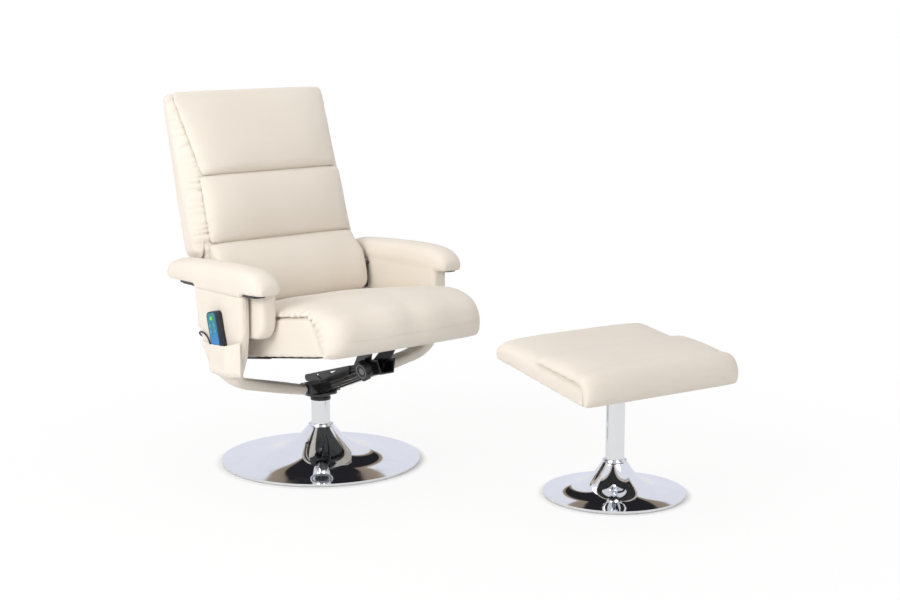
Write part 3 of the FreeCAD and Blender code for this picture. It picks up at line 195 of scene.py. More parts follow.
nearest = nodes.new("ShaderNodeMath")
nearest.operation = "MINIMUM"
links.new(side_gap(chair_side), nearest.inputs[0])
links.new(side_gap(stool_side), nearest.inputs[1])
off_axis = nodes.new("ShaderNodeMath")
off_axis.operation = "MULTIPLY"
off_axis.inputs[1].default_value = dark_narrowing
links.new(nearest.outputs[0], off_axis.inputs[0])
wedge = nodes.new("ShaderNodeMath")
wedge.operation = "SUBTRACT"
links.new(parts_of_look.outputs["Z"], wedge.inputs[0])
links.new(off_axis.outputs[0], wedge.inputs[1])
ahead = nodes.new("ShaderNodeVectorMath")
ahead.operation = "DOT_PRODUCT"
ahead.inputs[1].default_value = view_ahead
links.new(look.outputs["Generated"], ahead.inputs[0])
behind = nodes.new("ShaderNodeMath")
behind.operation = "MULTIPLY_ADD"
behind.inputs[1].default_value = behind_fall
behind.inputs[2].default_value = behind_start
links.new(ahead.outputs["Value"], behind.inputs[0])
turned_back = nodes.new("ShaderNodeMath")
turned_back.operation = "MAXIMUM"
turned_back.inputs[1].default_value = 0.0
links.new(behind.outputs[0], turned_back.inputs[0])
dark_share = nodes.new("ShaderNodeMath")
dark_share.operation = "SUBTRACT"
links.new(wedge.outputs[0], dark_share.inputs[0])
links.new(turned_back.outputs[0], dark_share.inputs[1])
shade = nodes.new("ShaderNodeValToRGB")
shade.color_ramp.elements[0].position = 0.0
shade.color_ramp.elements[0].color = pale_end
shade.color_ramp.elements[1].position = 1.0
shade.color_ramp.elements[1].color = black_end
for place, tone in mirror_tones:
    stop = shade.color_ramp.elements.new(place)
    stop.color = tone
links.new(dark_share.outputs[0], shade.inputs["Fac"])
mirror_view = nodes.new("ShaderNodeBackground")
links.new(shade.outputs["Color"], mirror_view.inputs["Color"])
outside = nodes.new("ShaderNodeMixShader")
links.new(rays.outputs["Is Glossy Ray"], outside.inputs["Fac"])
links.new(room.outputs[0], outside.inputs[1])
links.new(mirror_view.outputs[0], outside.inputs[2])
clear_rays = nodes.new("ShaderNodeMath")
clear_rays.operation = "MAXIMUM"
links.new(rays.outputs["Is Camera Ray"], clear_rays.inputs[0])
links.new(rays.outputs["Is Transmission Ray"], clear_rays.inputs[1])
backdrop = nodes.new("ShaderNodeMixShader")
links.new(clear_rays.outputs[0], backdrop.inputs["Fac"])
links.new(outside.outputs[0], backdrop.inputs[1])
links.new(white.outputs[0], backdrop.inputs[2])
links.new(backdrop.outputs[0], nodes["World Output"].inputs["Surface"])


def soft_light(name, place, target, size, power, colour):
    """A square softbox that faces the target."""
    lamp = bpy.data.lights.new(name, "AREA")
    lamp.size = size
    lamp.energy = power
    lamp.color = colour
    holder = bpy.data.objects.new(name, lamp)
    bpy.context.scene.collection.objects.link(holder)
    holder.location = place
    holder.rotation_euler = (Vector(target) - Vector(place)).to_track_quat("-Z", "Y").to_euler()


set_middle = (0.1, -0.3, 0.4)
chair_middle = (0, -0.2, 0.5)
soft_light("side_softbox", (-3.4, -0.6, 2.0), chair_middle, size=2.2, power=88, colour=(1.0, 0.99, 0.975))
soft_light("front_softbox", (-0.4, -4.2, 2.6), set_middle, size=2.0, power=37, colour=(1.0, 0.98, 0.95))
soft_light("top_softbox", (0.6, 0.4, 3.6), set_middle, size=2.4, power=30, colour=(1.0, 0.99, 0.98))

lens = bpy.data.cameras.new("photograph_lens")
lens.lens = camera_lens
lens.sensor_width = 36.0
lens.clip_end = 200
camera = bpy.data.objects.new("photograph_camera", lens)
bpy.context.scene.collection.objects.link(camera)
camera.location = camera_place
camera.rotation_euler = (math.radians(90 - camera_pitch), 0, -math.radians(camera_yaw))
bpy.context.scene.camera = camera
bpy.context.scene.view_settings.view_transform = "Standard"


# Round bases of the chair and the stool: a trumpet of chromed sheet over a black floor plate,
# on a thin rubber ring. The sheet is pressed in one piece from the neck to the rolled rim.
ring_height = 0.002
rim_height = 0.0064
sheet = 0.0022
flare_steepness = 3.7
flare_cone = 0.13
flare_steps = 44
flare_spacing = 1.35
chair_radius = 0.275
chair_neck = 0.034
chair_neck_height = 0.100
chair_hole = 0.0263
stool_radius = 0.185
stool_neck = 0.031
stool_neck_height = 0.088
stool_hole = 0.0248
neck_lip = 0.0005
round_segments = 160


def turned(name, centre, profile, segments):
    """A round shell, drawn out ring by ring from its first radius and height to its last."""
    clear_selection()
    start = Vector((centre[0], centre[1], profile[0][1]))
    bpy.ops.mesh.primitive_circle_add(vertices=segments, radius=profile[0][0], location=start)
    piece = bpy.context.object
    piece.name = name
    bpy.ops.object.mode_set(mode="EDIT")
    bpy.ops.mesh.select_all(action="SELECT")
    for (radius, height), (next_radius, next_height) in zip(profile, profile[1:]):
        bpy.ops.mesh.extrude_edges_move()
        grow = next_radius / radius
        bpy.ops.transform.resize(value=(grow, grow, 1), center_override=(centre[0], centre[1], height))
        bpy.ops.transform.translate(value=(0, 0, next_height - height))
    bpy.ops.mesh.select_all(action="SELECT")
    bpy.ops.mesh.remove_doubles(threshold=0.000001)
    bpy.ops.mesh.normals_make_consistent(inside=False)
    bpy.ops.object.mode_set(mode="OBJECT")
    bpy.ops.object.transform_apply(location=True)
    bpy.ops.object.shade_smooth_by_angle(angle=math.radians(40))
    return piece


def trumpet(name, node, body, centre, radius, neck, neck_height, hole):
    """The chromed cover, with its rim rolled in and its inner wall a sheet's thickness behind."""
    top = ring_height + rim_height
    rise = ring_height + neck_height - top
    outside = []
    for step in range(flare_steps + 1):
        share = (step / flare_steps) ** flare_spacing
        left = 1 - share
        lift = flare_cone * left + (1 - flare_cone) * left ** flare_steepness
        outside.append((neck + share * (radius - neck), top + rise * lift))
    roll = [
        (radius, top - rim_height * 0.35),
        (radius - 0.0004, ring_height + rim_height * 0.25),
        (radius - 0.0012, ring_height),
        (radius - sheet, ring_height),
    ]
    inside = [(r - sheet, z - sheet) for r, z in reversed(outside)]
    crown = [(hole, ring_height + neck_height), (neck - 0.003, ring_height + neck_height)]
    shoulder = [(neck - 0.001, ring_height + neck_height - 0.0004)]
    closing = [(hole, inside[-1][1]), crown[0]]
    piece = turned(name, centre, crown + shoulder + outside[1:] + roll + inside + closing, round_segments)
    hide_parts(node)
    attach(piece, body)
    return piece


def smudge_group():
    """Faint wipe marks and dust on polished or painted metal."""
    group = bpy.data.node_groups.new("wiped_surface", "ShaderNodeTree")
    group.interface.new_socket(name="Mark Size", in_out="INPUT", socket_type="NodeSocketFloat")
    group.interface.new_socket(name="Clean", in_out="INPUT", socket_type="NodeSocketFloat")
    group.interface.new_socket(name="Marked", in_out="INPUT", socket_type="NodeSocketFloat")
    group.interface.new_socket(name="Roughness", in_out="OUTPUT", socket_type="NodeSocketFloat")
    group.interface.new_socket(name="Mask", in_out="OUTPUT", socket_type="NodeSocketFloat")
    entry = group.nodes.new("NodeGroupInput")
    leave = group.nodes.new("NodeGroupOutput")
    place = group.nodes.new("ShaderNodeTexCoord")
    marks = group.nodes.new("ShaderNodeTexNoise")
    marks.inputs["Detail"].default_value = 6
    marks.inputs["Roughness"].default_value = 0.62
    marks.inputs["Distortion"].default_value = 0.8
    spread = group.nodes.new("ShaderNodeMapRange")
    spread.interpolation_type = "SMOOTHSTEP"
    spread.inputs["From Min"].default_value = 0.44
    spread.inputs["From Max"].default_value = 0.74
    blend = group.nodes.new("ShaderNodeMapRange")
    group.links.new(place.outputs["Object"], marks.inputs["Vector"])
    group.links.new(entry.outputs["Mark Size"], marks.inputs["Scale"])
    group.links.new(marks.outputs["Fac"], spread.inputs["Value"])
    group.links.new(spread.outputs["Result"], blend.inputs["Value"])
    group.links.new(entry.outputs["Clean"], blend.inputs["To Min"])
    group.links.new(entry.outputs["Marked"], blend.inputs["To Max"])
    group.links.new(blend.outputs["Result"], leave.inputs["Roughness"])
    group.links.new(spread.outputs["Result"], leave.inputs["Mask"])
    return group


wiped_surface = smudge_group()


def marked_material(name, colour, worn_colour, metallic, mark_size, clean, marked, worn_share):
    """Metal or plastic whose colour and gloss vary with its wipe marks."""
    material, nodes, links, shader = plain_material(name)
    marks = nodes.new("ShaderNodeGroup")
    marks.node_tree = wiped_surface
    marks.inputs["Mark Size"].default_value = mark_size
    marks.inputs["Clean"].default_value = clean
    marks.inputs["Marked"].default_value = marked
    tone = nodes.new("ShaderNodeMix")
    tone.data_type = "RGBA"
    tone.inputs["A"].default_value = (*colour, 1)
    tone.inputs["B"].default_value = (*worn_colour, 1)
    strength = nodes.new("ShaderNodeMath")
    strength.operation = "MULTIPLY"
    strength.inputs[1].default_value = worn_share
    links.new(marks.outputs["Mask"], strength.inputs[0])
    links.new(strength.outputs[0], tone.inputs["Factor"])
    links.new(tone.outputs["Result"], shader.inputs["Base Color"])
    links.new(marks.outputs["Roughness"], shader.inputs["Roughness"])
    shader.inputs["Metallic"].default_value = metallic
    return material


def fine_bump(material, scale, depth, strength):
    """Adds the fine orange peel of a coat or a moulding."""
    nodes = material.node_tree.nodes
    links = material.node_tree.links
    place = nodes.new("ShaderNodeTexCoord")
    peel = nodes.new("ShaderNodeTexNoise")
    peel.inputs["Scale"].default_value = scale
    peel.inputs["Detail"].default_value = 2
    bump = nodes.new("ShaderNodeBump")
    bump.inputs["Distance"].default_value = depth
    bump.inputs["Strength"].default_value = strength
    links.new(place.outputs["Object"], peel.inputs["Vector"])
    links.new(peel.outputs["Fac"], bump.inputs["Height"])
    links.new(bump.outputs["Normal"], nodes["Principled BSDF"].inputs["Normal"])


def dress(material, *names):
    """Gives CAD nodes that keep their own shape a finished material."""
    for name in names:
        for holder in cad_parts[name].material_slots:
            holder.material = material


chrome = marked_material(
    "mirror_chrome", (0.86, 0.87, 0.89), (0.80, 0.81, 0.83),
    metallic=1.0, mark_size=14.0, clean=0.035, marked=0.085, worn_share=0.5,
)
black_coat = marked_material(
    "black_powder_coat", (0.012, 0.012, 0.013), (0.03, 0.03, 0.031),
    metallic=0.0, mark_size=30.0, clean=0.17, marked=0.32, worn_share=0.6,
)
black_coat.node_tree.nodes["Principled BSDF"].inputs["Coat Weight"].default_value = 0.5
fine_bump(black_coat, scale=1400, depth=0.00012, strength=0.5)
black_rubber = marked_material(
    "black_rubber", (0.014, 0.014, 0.014), (0.04, 0.039, 0.038),
    metallic=0.0, mark_size=45.0, clean=0.62, marked=0.8, worn_share=0.6,
)
fine_bump(black_rubber, scale=2200, depth=0.0001, strength=0.6)
zinc = marked_material(
    "zinc_plate", (0.52, 0.52, 0.53), (0.36, 0.35, 0.34),
    metallic=1.0, mark_size=90.0, clean=0.28, marked=0.45, worn_share=0.6,
)

chair_cover = trumpet(
    "chair_trumpet", "base_cover", "base", chair_spot,
    chair_radius, chair_neck, chair_neck_height, chair_hole,
)
stool_cover = trumpet(
    "stool_trumpet", "stool_base_cover", "footstool", stool_spot,
    stool_radius, stool_neck, stool_neck_height, stool_hole,
)
for cover in (chair_cover, stool_cover):
    cover.data.materials.append(chrome)
for name, node, body, centre, hole, neck, neck_height in (
    ("chair_neck_ring", "neck_collar", "base", chair_spot, chair_hole, chair_neck, chair_neck_height),
    (
        "stool_neck_ring", "stool_neck_collar", "footstool", stool_spot,
        stool_hole, stool_neck, stool_neck_height,
    ),
):
    edge = neck + neck_lip
    seat = ring_height + neck_height
    section = [
        (hole, seat + 0.0003),
        (edge, seat + 0.0003),
        (edge + 0.0006, seat + 0.0012),
        (edge, seat + 0.0026),
        (edge - 0.0018, seat + 0.0033),
        (edge - 0.0026, seat + 0.0022),
        (edge - 0.0040, seat + 0.0022),
        (edge - 0.0046, seat + 0.0045),
        (edge - 0.0058, seat + 0.0056),
        (hole, seat + 0.0058),
        (hole, seat + 0.0003),
    ]
    neck_ring = turned(name, centre, section, round_segments)
    neck_ring.data.materials.append(chrome)
    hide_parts(node)
    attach(neck_ring, body)
dress(chrome, "column", "stool_column")
dress(black_coat, "floor_plate", "stool_floor_plate")
dress(black_rubber, "floor_ring", "stool_floor_ring")
dress(zinc, "foot_bolts", "stool_foot_bolts")


# Swivel and frame: a moulded bush in the column's mouth, and above it the hub plate, the cross tube
# and the front arm, all welded steel with a satin black powder coat.
black_moulding = marked_material(
    "black_moulding", (0.013, 0.013, 0.014), (0.035, 0.035, 0.036),
    metallic=0.0, mark_size=60.0, clean=0.36, marked=0.55, worn_share=0.6,
)
fine_bump(black_moulding, scale=1700, depth=0.00015, strength=0.7)
dress(black_moulding, "swivel_bush")
dress(black_coat, "swivel_spindle", "hub_plate", "cross_tube", "front_arm", "hoop_cores", "arm_rails")
dress(black_coat, "recline_brackets", "hinge_plates", "back_frame")
dress(black_coat, "seat_pan", "slot_brackets", "seat_links")
dress(zinc, "pivot_bolts", "slot_guide_bolt", "clamp_screw")


# Hoops: bent steel covered with thin foam and cream leatherette, sewn shut along the front edge
# with a turned seam. They rise from the cross tube to the arm rails on both sides.
cream = (0.785, 0.728, 0.652)
cream_shade = (0.725, 0.660, 0.580)
cream_thread = (0.66, 0.585, 0.49)
grain_size = 620
hoop_voxel = 0.006
hoop_swell = 0.003
hoop_tuck = 0.017
tuck_front = -0.085
tuck_low = 0.26
tuck_blend = 0.06
hoop_top_hold = 0.006
hoop_hub_hold = 0.058
hoop_seam_heights = (0.510, 0.45, 0.40, 0.36, 0.325)
welt_step = 0.018
swell_frames = 20
even_rounds = 110


def hide_group():
    """Pebbled leatherette: fine grain, long soft stretch marks and a slow drift of tone."""
    group = bpy.data.node_groups.new("leatherette_hide", "ShaderNodeTree")
    group.interface.new_socket(name="Grain Scale", in_out="INPUT", socket_type="NodeSocketFloat")
    group.interface.new_socket(name="Stretch Scale", in_out="INPUT", socket_type="NodeSocketFloat")
    group.interface.new_socket(name="Tone", in_out="OUTPUT", socket_type="NodeSocketFloat")
    group.interface.new_socket(name="Roughness", in_out="OUTPUT", socket_type="NodeSocketFloat")
    group.interface.new_socket(name="Height", in_out="OUTPUT", socket_type="NodeSocketFloat")
    entry = group.nodes.new("NodeGroupInput")
    leave = group.nodes.new("NodeGroupOutput")
    place = group.nodes.new("ShaderNodeTexCoord")
    pebbles = group.nodes.new("ShaderNodeTexVoronoi")
    pebbles.feature = "DISTANCE_TO_EDGE"
    pebbles.inputs["Randomness"].default_value = 0.9
    valley = group.nodes.new("ShaderNodeMapRange")
    valley.interpolation_type = "SMOOTHSTEP"
    valley.inputs["From Max"].default_value = 0.22
    stretch = group.nodes.new("ShaderNodeTexNoise")
    stretch.inputs["Detail"].default_value = 5
    stretch.inputs["Roughness"].default_value = 0.55
    stretch.inputs["Distortion"].default_value = 1.4
    drift = group.nodes.new("ShaderNodeTexNoise")
    drift.inputs["Scale"].default_value = 5.5
    drift.inputs["Detail"].default_value = 3
    tone = group.nodes.new("ShaderNodeMapRange")
    tone.inputs["From Min"].default_value = 0.3
    tone.inputs["From Max"].default_value = 0.7
    tone.inputs["To Max"].default_value = 0.34
    # Colour tone: a slow random drift, plus a slightly darker tone in the valleys between the pebbles.
    pores = group.nodes.new("ShaderNodeMath")
    pores.operation = "MULTIPLY_ADD"
    pores.inputs[1].default_value = -0.16
    pores.inputs[2].default_value = 0.16
    drift_and_valley_tone = group.nodes.new("ShaderNodeMath")
    gloss = group.nodes.new("ShaderNodeMapRange")
    gloss.inputs["To Min"].default_value = 0.40
    gloss.inputs["To Max"].default_value = 0.56
    height = group.nodes.new("ShaderNodeMath")
    height.operation = "MULTIPLY_ADD"
    height.inputs[1].default_value = 2.2
    group.links.new(place.outputs["Object"], pebbles.inputs["Vector"])
    group.links.new(place.outputs["Object"], stretch.inputs["Vector"])
    group.links.new(place.outputs["Object"], drift.inputs["Vector"])
    group.links.new(entry.outputs["Grain Scale"], pebbles.inputs["Scale"])
    group.links.new(entry.outputs["Stretch Scale"], stretch.inputs["Scale"])
    group.links.new(pebbles.outputs["Distance"], valley.inputs["Value"])
    group.links.new(drift.outputs["Fac"], tone.inputs["Value"])
    group.links.new(valley.outputs["Result"], pores.inputs[0])
    group.links.new(tone.outputs["Result"], drift_and_valley_tone.inputs[0])
    group.links.new(pores.outputs[0], drift_and_valley_tone.inputs[1])
    group.links.new(stretch.outputs["Fac"], gloss.inputs["Value"])
    group.links.new(stretch.outputs["Fac"], height.inputs[0])
    group.links.new(valley.outputs["Result"], height.inputs[2])
    group.links.new(drift_and_valley_tone.outputs[0], leave.inputs["Tone"])
    group.links.new(gloss.outputs["Result"], leave.inputs["Roughness"])
    group.links.new(height.outputs[0], leave.inputs["Height"])
    return group


leatherette_hide = hide_group()


def leatherette(name, colour, shade_colour, stretch_scale, depth):
    """Cream upholstery: the hide's grain as bump, its drift as tone, a soft low sheen."""
    material, nodes, links, shader = plain_material(name)
    hide = nodes.new("ShaderNodeGroup")
    hide.node_tree = leatherette_hide
    hide.inputs["Grain Scale"].default_value = grain_size
    hide.inputs["Stretch Scale"].default_value = stretch_scale
    tone = nodes.new("ShaderNodeMix")
    tone.data_type = "RGBA"
    tone.inputs["A"].default_value = (*colour, 1)
    tone.inputs["B"].default_value = (*shade_colour, 1)
    bump = nodes.new("ShaderNodeBump")
    bump.inputs["Distance"].default_value = depth
    bump.inputs["Strength"].default_value = 0.4
    links.new(hide.outputs["Tone"], tone.inputs["Factor"])
    links.new(tone.outputs["Result"], shader.inputs["Base Color"])
    links.new(hide.outputs["Roughness"], shader.inputs["Roughness"])
    links.new(hide.outputs["Height"], bump.inputs["Height"])
    links.new(bump.outputs["Normal"], shader.inputs["Normal"])
    shader.inputs["Specular IOR Level"].default_value = 0.34
    shader.inputs["Sheen Weight"].default_value = 0.05
    shader.inputs["Sheen Roughness"].default_value = 0.5
    return material


def cover_copy(name, voxel, rounds, *nodes):
    """A closed skin over the form of one or more CAD solids, in even small faces that can swell."""
    clear_selection()
    copies = []
    for node in nodes:
        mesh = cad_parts[node].data.copy()
        mesh.materials.clear()
        copies.append(bpy.data.objects.new(name, mesh))
        bpy.context.scene.collection.objects.link(copies[-1])
    pick(copies[0])
    for copy in copies[1:]:
        copy.select_set(True)
    if len(copies) > 1:
        bpy.ops.object.join()
    piece = bpy.context.object
    bpy.ops.object.mode_set(mode="EDIT")
    bpy.ops.mesh.select_all(action="SELECT")
    bpy.ops.mesh.remove_doubles(threshold=0.00001)
    bpy.ops.object.mode_set(mode="OBJECT")
    even = piece.modifiers.new("even_faces", "REMESH")
    even.mode = "VOXEL"
    even.voxel_size = voxel
    bpy.ops.object.modifier_apply(modifier=even.name)
    relax(piece, rounds)
    return piece


def smooth_share(value):
    """A share from nought to one with a soft start and a soft end."""
    value = max(0.0, min(1.0, value))
    return value * value * (3 - 2 * value)


def relax(piece, rounds):
    """Eases small waves and hard steps out of a skin."""
    pick(piece)
    ease = piece.modifiers.new("eased", "SMOOTH")
    ease.factor = 0.5
    ease.iterations = rounds
    bpy.ops.object.modifier_apply(modifier=ease.name)


def swell(piece, pressure, cap, is_held, rounds=even_rounds):
    """Inflates a cover like stuffing does, where it isn't held, and keeps every point within the cap.
    The movement is evened out along the skin, so the cover stays taut, and its faces are then halved."""
    mesh = piece.data
    count = len(mesh.vertices)
    rest = np.empty(count * 3)
    mesh.vertices.foreach_get("co", rest)
    held = piece.vertex_groups.new(name="held")
    held_ones = [v.index for v in mesh.vertices if is_held(v.co, v.normal)]
    held.add(held_ones, 1.0, "REPLACE")
    puff = piece.modifiers.new("stuffing", "CLOTH")
    puff.settings.quality = 3
    puff.settings.mass = 0.35
    puff.settings.tension_stiffness = 12
    puff.settings.compression_stiffness = 12
    puff.settings.shear_stiffness = 6
    puff.settings.bending_stiffness = 2.5
    puff.settings.use_pressure = True
    puff.settings.uniform_pressure_force = pressure
    puff.settings.vertex_group_mass = held.name
    puff.settings.effector_weights.gravity = 0
    puff.collision_settings.use_collision = False
    puff.collision_settings.use_self_collision = False
    puff.point_cache.frame_end = swell_frames
    for step in range(1, swell_frames + 1):
        bpy.context.scene.frame_set(step)
    shaped = piece.evaluated_get(bpy.context.evaluated_depsgraph_get()).data
    moved = np.empty(count * 3)
    shaped.vertices.foreach_get("co", moved)
    piece.modifiers.remove(puff)
    piece.vertex_groups.remove(held)
    bpy.context.scene.frame_set(1)
    steps = (moved - rest).reshape(count, 3)
    lengths = np.maximum(np.linalg.norm(steps, axis=1), 1e-9)
    steps *= np.minimum(1.0, cap / lengths)[:, None]
    ends = np.empty(len(mesh.edges) * 2, dtype=np.int64)
    mesh.edges.foreach_get("vertices", ends)
    ends = ends.reshape(-1, 2)
    share = np.bincount(ends.ravel(), minlength=count)[:, None]
    for turn in range(rounds):
        total = np.zeros((count, 3))
        for axis in range(3):
            total[:, axis] = np.bincount(ends[:, 0], steps[ends[:, 1], axis], count)
            total[:, axis] += np.bincount(ends[:, 1], steps[ends[:, 0], axis], count)
        steps = (steps + total / share) / 2
        steps[held_ones] = 0
    mesh.vertices.foreach_set("co", rest + steps.ravel())
    mesh.update()
    pick(piece)
    soft = piece.modifiers.new("fine_faces", "SUBSURF")
    soft.levels = 1
    soft.render_levels = 1
    bpy.ops.object.modifier_apply(modifier=soft.name)


def path_distance(point, path):
    """Distance from a point to a run of straight lines, and how far along it the nearest place lies."""
    best = (1e9, 0.0)
    run = 0.0
    for start, end in zip(path, path[1:]):
        line = end - start
        t = max(0.0, min(1.0, (point - start).dot(line) / line.length_squared))
        gap = (point - start - line * t).length
        if gap < best[0]:
            best = (gap, run + line.length * t)
        run += line.length
    return best


def near_path(piece, path, reach):
    """The vertices within reach of a path, each with its normal, its distance and its place along it."""
    found = []
    low = [min(p[i] for p in path) - reach for i in range(3)]
    high = [max(p[i] for p in path) + reach for i in range(3)]
    for vertex in piece.data.vertices:
        if all(low[i] <= vertex.co[i] <= high[i] for i in range(3)):
            gap, along = path_distance(vertex.co, path)
            if gap < reach:
                found.append((vertex, vertex.normal.copy(), gap, along))
    return found


def press_seam(piece, path, width, depth):
    """Draws the cover in along a sewn line."""
    for vertex, normal, gap, along in near_path(piece, path, width):
        share = 1 - gap / width
        vertex.co -= normal * (depth * share * share)
    piece.data.update()


def gather(piece, path, reach, length, depth, seed):
    """Puckers the cover beside a gathered seam: broad ridges and narrow folds that run out from it."""
    for vertex, normal, gap, along in near_path(piece, path, reach):
        drift = noise.noise((along * 22 + seed, gap * 9, seed))
        strength = max(0.15, 0.65 + 0.9 * noise.noise((along * 14, seed * 3.1, gap * 4)))
        ridge = abs(math.sin(math.pi * (along / length + 0.9 * drift)))
        fade = (1 - gap / reach) ** 1.3
        vertex.co += normal * (depth * strength * (ridge ** 0.6 - 0.75) * fade)
    piece.data.update()


def finish_cover(piece, material, body, fill, *nodes):
    """Smooth shading and material on a padded piece, with its CAD nodes hidden and the piece attached to its
    body.
    """
    pick(piece)
    bpy.ops.object.shade_smooth()
    piece.data.materials.append(material)
    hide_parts(*nodes)
    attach(piece, body)


def welt(name, cover, path, radius, body):
    """A sewn welt laid on the cover's surface, from path points that are drawn to it."""
    spots = []
    for start, end in zip(path, path[1:]):
        count = max(2, round((end - start).length / welt_step))
        spots += [start.lerp(end, step / count) for step in range(count)]
    spots.append(path[-1])
    line = bpy.data.curves.new(name, "CURVE")
    line.dimensions = "3D"
    run = line.splines.new("NURBS")
    run.points.add(len(spots) - 1)
    for knot, spot in zip(run.points, spots):
        knot.co = (*cover.closest_point_on_mesh(spot)[1], 1)
    run.order_u = 3
    run.use_endpoint_u = True
    run.resolution_u = 4
    line.bevel_depth = radius
    line.bevel_resolution = 2
    line.use_fill_caps = True
    piece = bpy.data.objects.new(name, line)
    bpy.context.scene.collection.objects.link(piece)
    pick(piece)
    bpy.ops.object.convert(target="MESH")
    bpy.ops.object.shade_smooth()
    piece = bpy.context.object
    piece.data.materials.append(cream_welt)
    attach(piece, body)
    return piece


cream_cover = leatherette("cream_leatherette", cream, cream_shade, 26, 0.0005)
cream_welt = leatherette("cream_welt", cream_shade, cream_thread, 90, 0.0003)
for side, node in ((1, "hoop_sleeve_left"), (-1, "hoop_sleeve_right")):
    hoop = cover_copy(node.replace("sleeve", "cover"), hoop_voxel, 5, node)
    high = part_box(node)[1]
    swell(hoop, 2.0, hoop_swell, lambda co, n: co.z > high.z - hoop_top_hold or abs(co.x) < hoop_hub_hold)
    for vertex in hoop.data.vertices:
        front = smooth_share((tuck_front - vertex.co.y) / tuck_blend)
        front *= smooth_share((vertex.co.z - tuck_low) / tuck_blend)
        vertex.co.y += hoop_tuck * front
    hoop.data.update()
    finish_cover(hoop, cream_cover, "swivel_frame", 0.5, node)
    front_seam = [Vector((side * 0.331, -0.152, z)) for z in hoop_seam_heights]
    welt("hoop_seam_left" if side > 0 else "hoop_seam_right", hoop, front_seam, 0.0011, "swivel_frame")


# Arms: bun-shaped pads of foam whose leatherette runs on down the inner side as a drop panel beside
# the seat, sewn closed under the nose. Flat steel rails carry them on the hoops.
arm_voxel = 0.005
arm_swell = 0.005
arm_hold = 0.530
hoop_front_line = -0.140
hoop_back_line = 0.093
lip_drop = 0.012
lip_start = 0.330
lip_width = 0.010
lip_top = 0.545
lip_height = 0.016
line_blend = 0.02
panel_top = 0.516
panel_back = 0.085
panel_back_blend = 0.035
panel_drop = 0.015
panel_drop_top = 0.47
panel_drop_blend = 0.05
nose_seam_spots = ((0.262, -0.178, 0.524), (0.285, -0.182, 0.522), (0.312, -0.180, 0.522))
for side, word, panel_reach in ((1, "left", 0.045), (-1, "right", 0.012)):
    pad_node = "arm_pad_" + word
    panel_node = "arm_panel_" + word
    arm = cover_copy("arm_cover_" + word, arm_voxel, 5, pad_node, panel_node)
    swell(arm, 3.0, arm_swell, lambda co, n: co.z < arm_hold)
    for vertex in arm.data.vertices:
        outward = side * vertex.co.x
        along = smooth_share((vertex.co.y - hoop_front_line) / line_blend)
        along *= smooth_share((hoop_back_line - vertex.co.y) / line_blend)
        if along > 0 and outward > lip_start and vertex.co.z < lip_top:
            share = smooth_share((outward - lip_start) / lip_width)
            share *= smooth_share((lip_top - vertex.co.z) / lip_height)
            vertex.co.z -= lip_drop * share * along
        if vertex.co.z < panel_top:
            vertex.co.y += panel_reach * smooth_share((vertex.co.y - panel_back) / panel_back_blend)
        vertex.co.z -= panel_drop * smooth_share((panel_drop_top - vertex.co.z) / panel_drop_blend)
    arm.data.update()
    nose_seam = [Vector((side * x, y, z)) for x, y, z in nose_seam_spots]
    press_seam(arm, nose_seam, width=0.014, depth=0.003)
    finish_cover(arm, cream_cover, "swivel_frame", 0.8, pad_node, panel_node)
    welt("arm_nose_seam_" + word, arm, nose_seam, 0.0012, "swivel_frame")


# Seat: a foam cushion on a steel pan, boxed in leatherette, and sewn over it a soft top pad that
# rolls down over the front. Along its sides the top pad's cover is gathered into the seam.
seat_voxel = 0.006
taut_rounds = 700
seat_turn = math.radians(8.8)
seat_forward = Vector((0, -math.cos(seat_turn), math.sin(seat_turn)))
seat_up = Vector((0, math.sin(seat_turn), math.cos(seat_turn)))
seat_foot = Vector((0, 0.095, 0.3132))
seat_side_limit = 0.2605
seat_seam_side = 0.258
seat_seam_spots = ((0.250, 0.103), (0.398, 0.103), (0.425, 0.092), (0.440, 0.066), (0.462, -0.006))
front_seam_sides = (-0.235, -0.12, 0, 0.12, 0.235)


def seat_place(x, reach, rise):
    """A place in the tilted seat: across, forward from its rear foot and up from its pan."""
    return seat_foot + Vector((x, 0, 0)) + seat_forward * reach + seat_up * rise


seat_box = cover_copy("seat_box_cover", seat_voxel, 4, "seat_cushion")
swell(seat_box, 2.0, 0.003, lambda co, n: n.dot(seat_up) < -0.7 or n.dot(seat_up) > 0.7)
finish_cover(seat_box, cream_cover, "seat", 0.9, "seat_cushion")
seat_top = cover_copy("seat_top_pad", seat_voxel, 5, "seat_overlay")
swell(seat_top, 3.5, 0.009, lambda co, n: n.dot(seat_up) < -0.5, taut_rounds)
for vertex in seat_top.data.vertices:
    vertex.co.x = max(-seat_side_limit, min(seat_side_limit, vertex.co.x))
for side in (1, -1):
    side_seam = [seat_place(side * seat_seam_side, reach, rise) for reach, rise in seat_seam_spots]
    gather(seat_top, side_seam, reach=0.040, length=0.017, depth=0.0095, seed=3.7 + side)
finish_cover(seat_top, cream_cover, "seat", 0.8, "seat_overlay")
front_line = [seat_place(x, 0.56, 0.022) for x in front_seam_sides]
welt("seat_front_seam", seat_top, front_line, 0.0009, "seat")


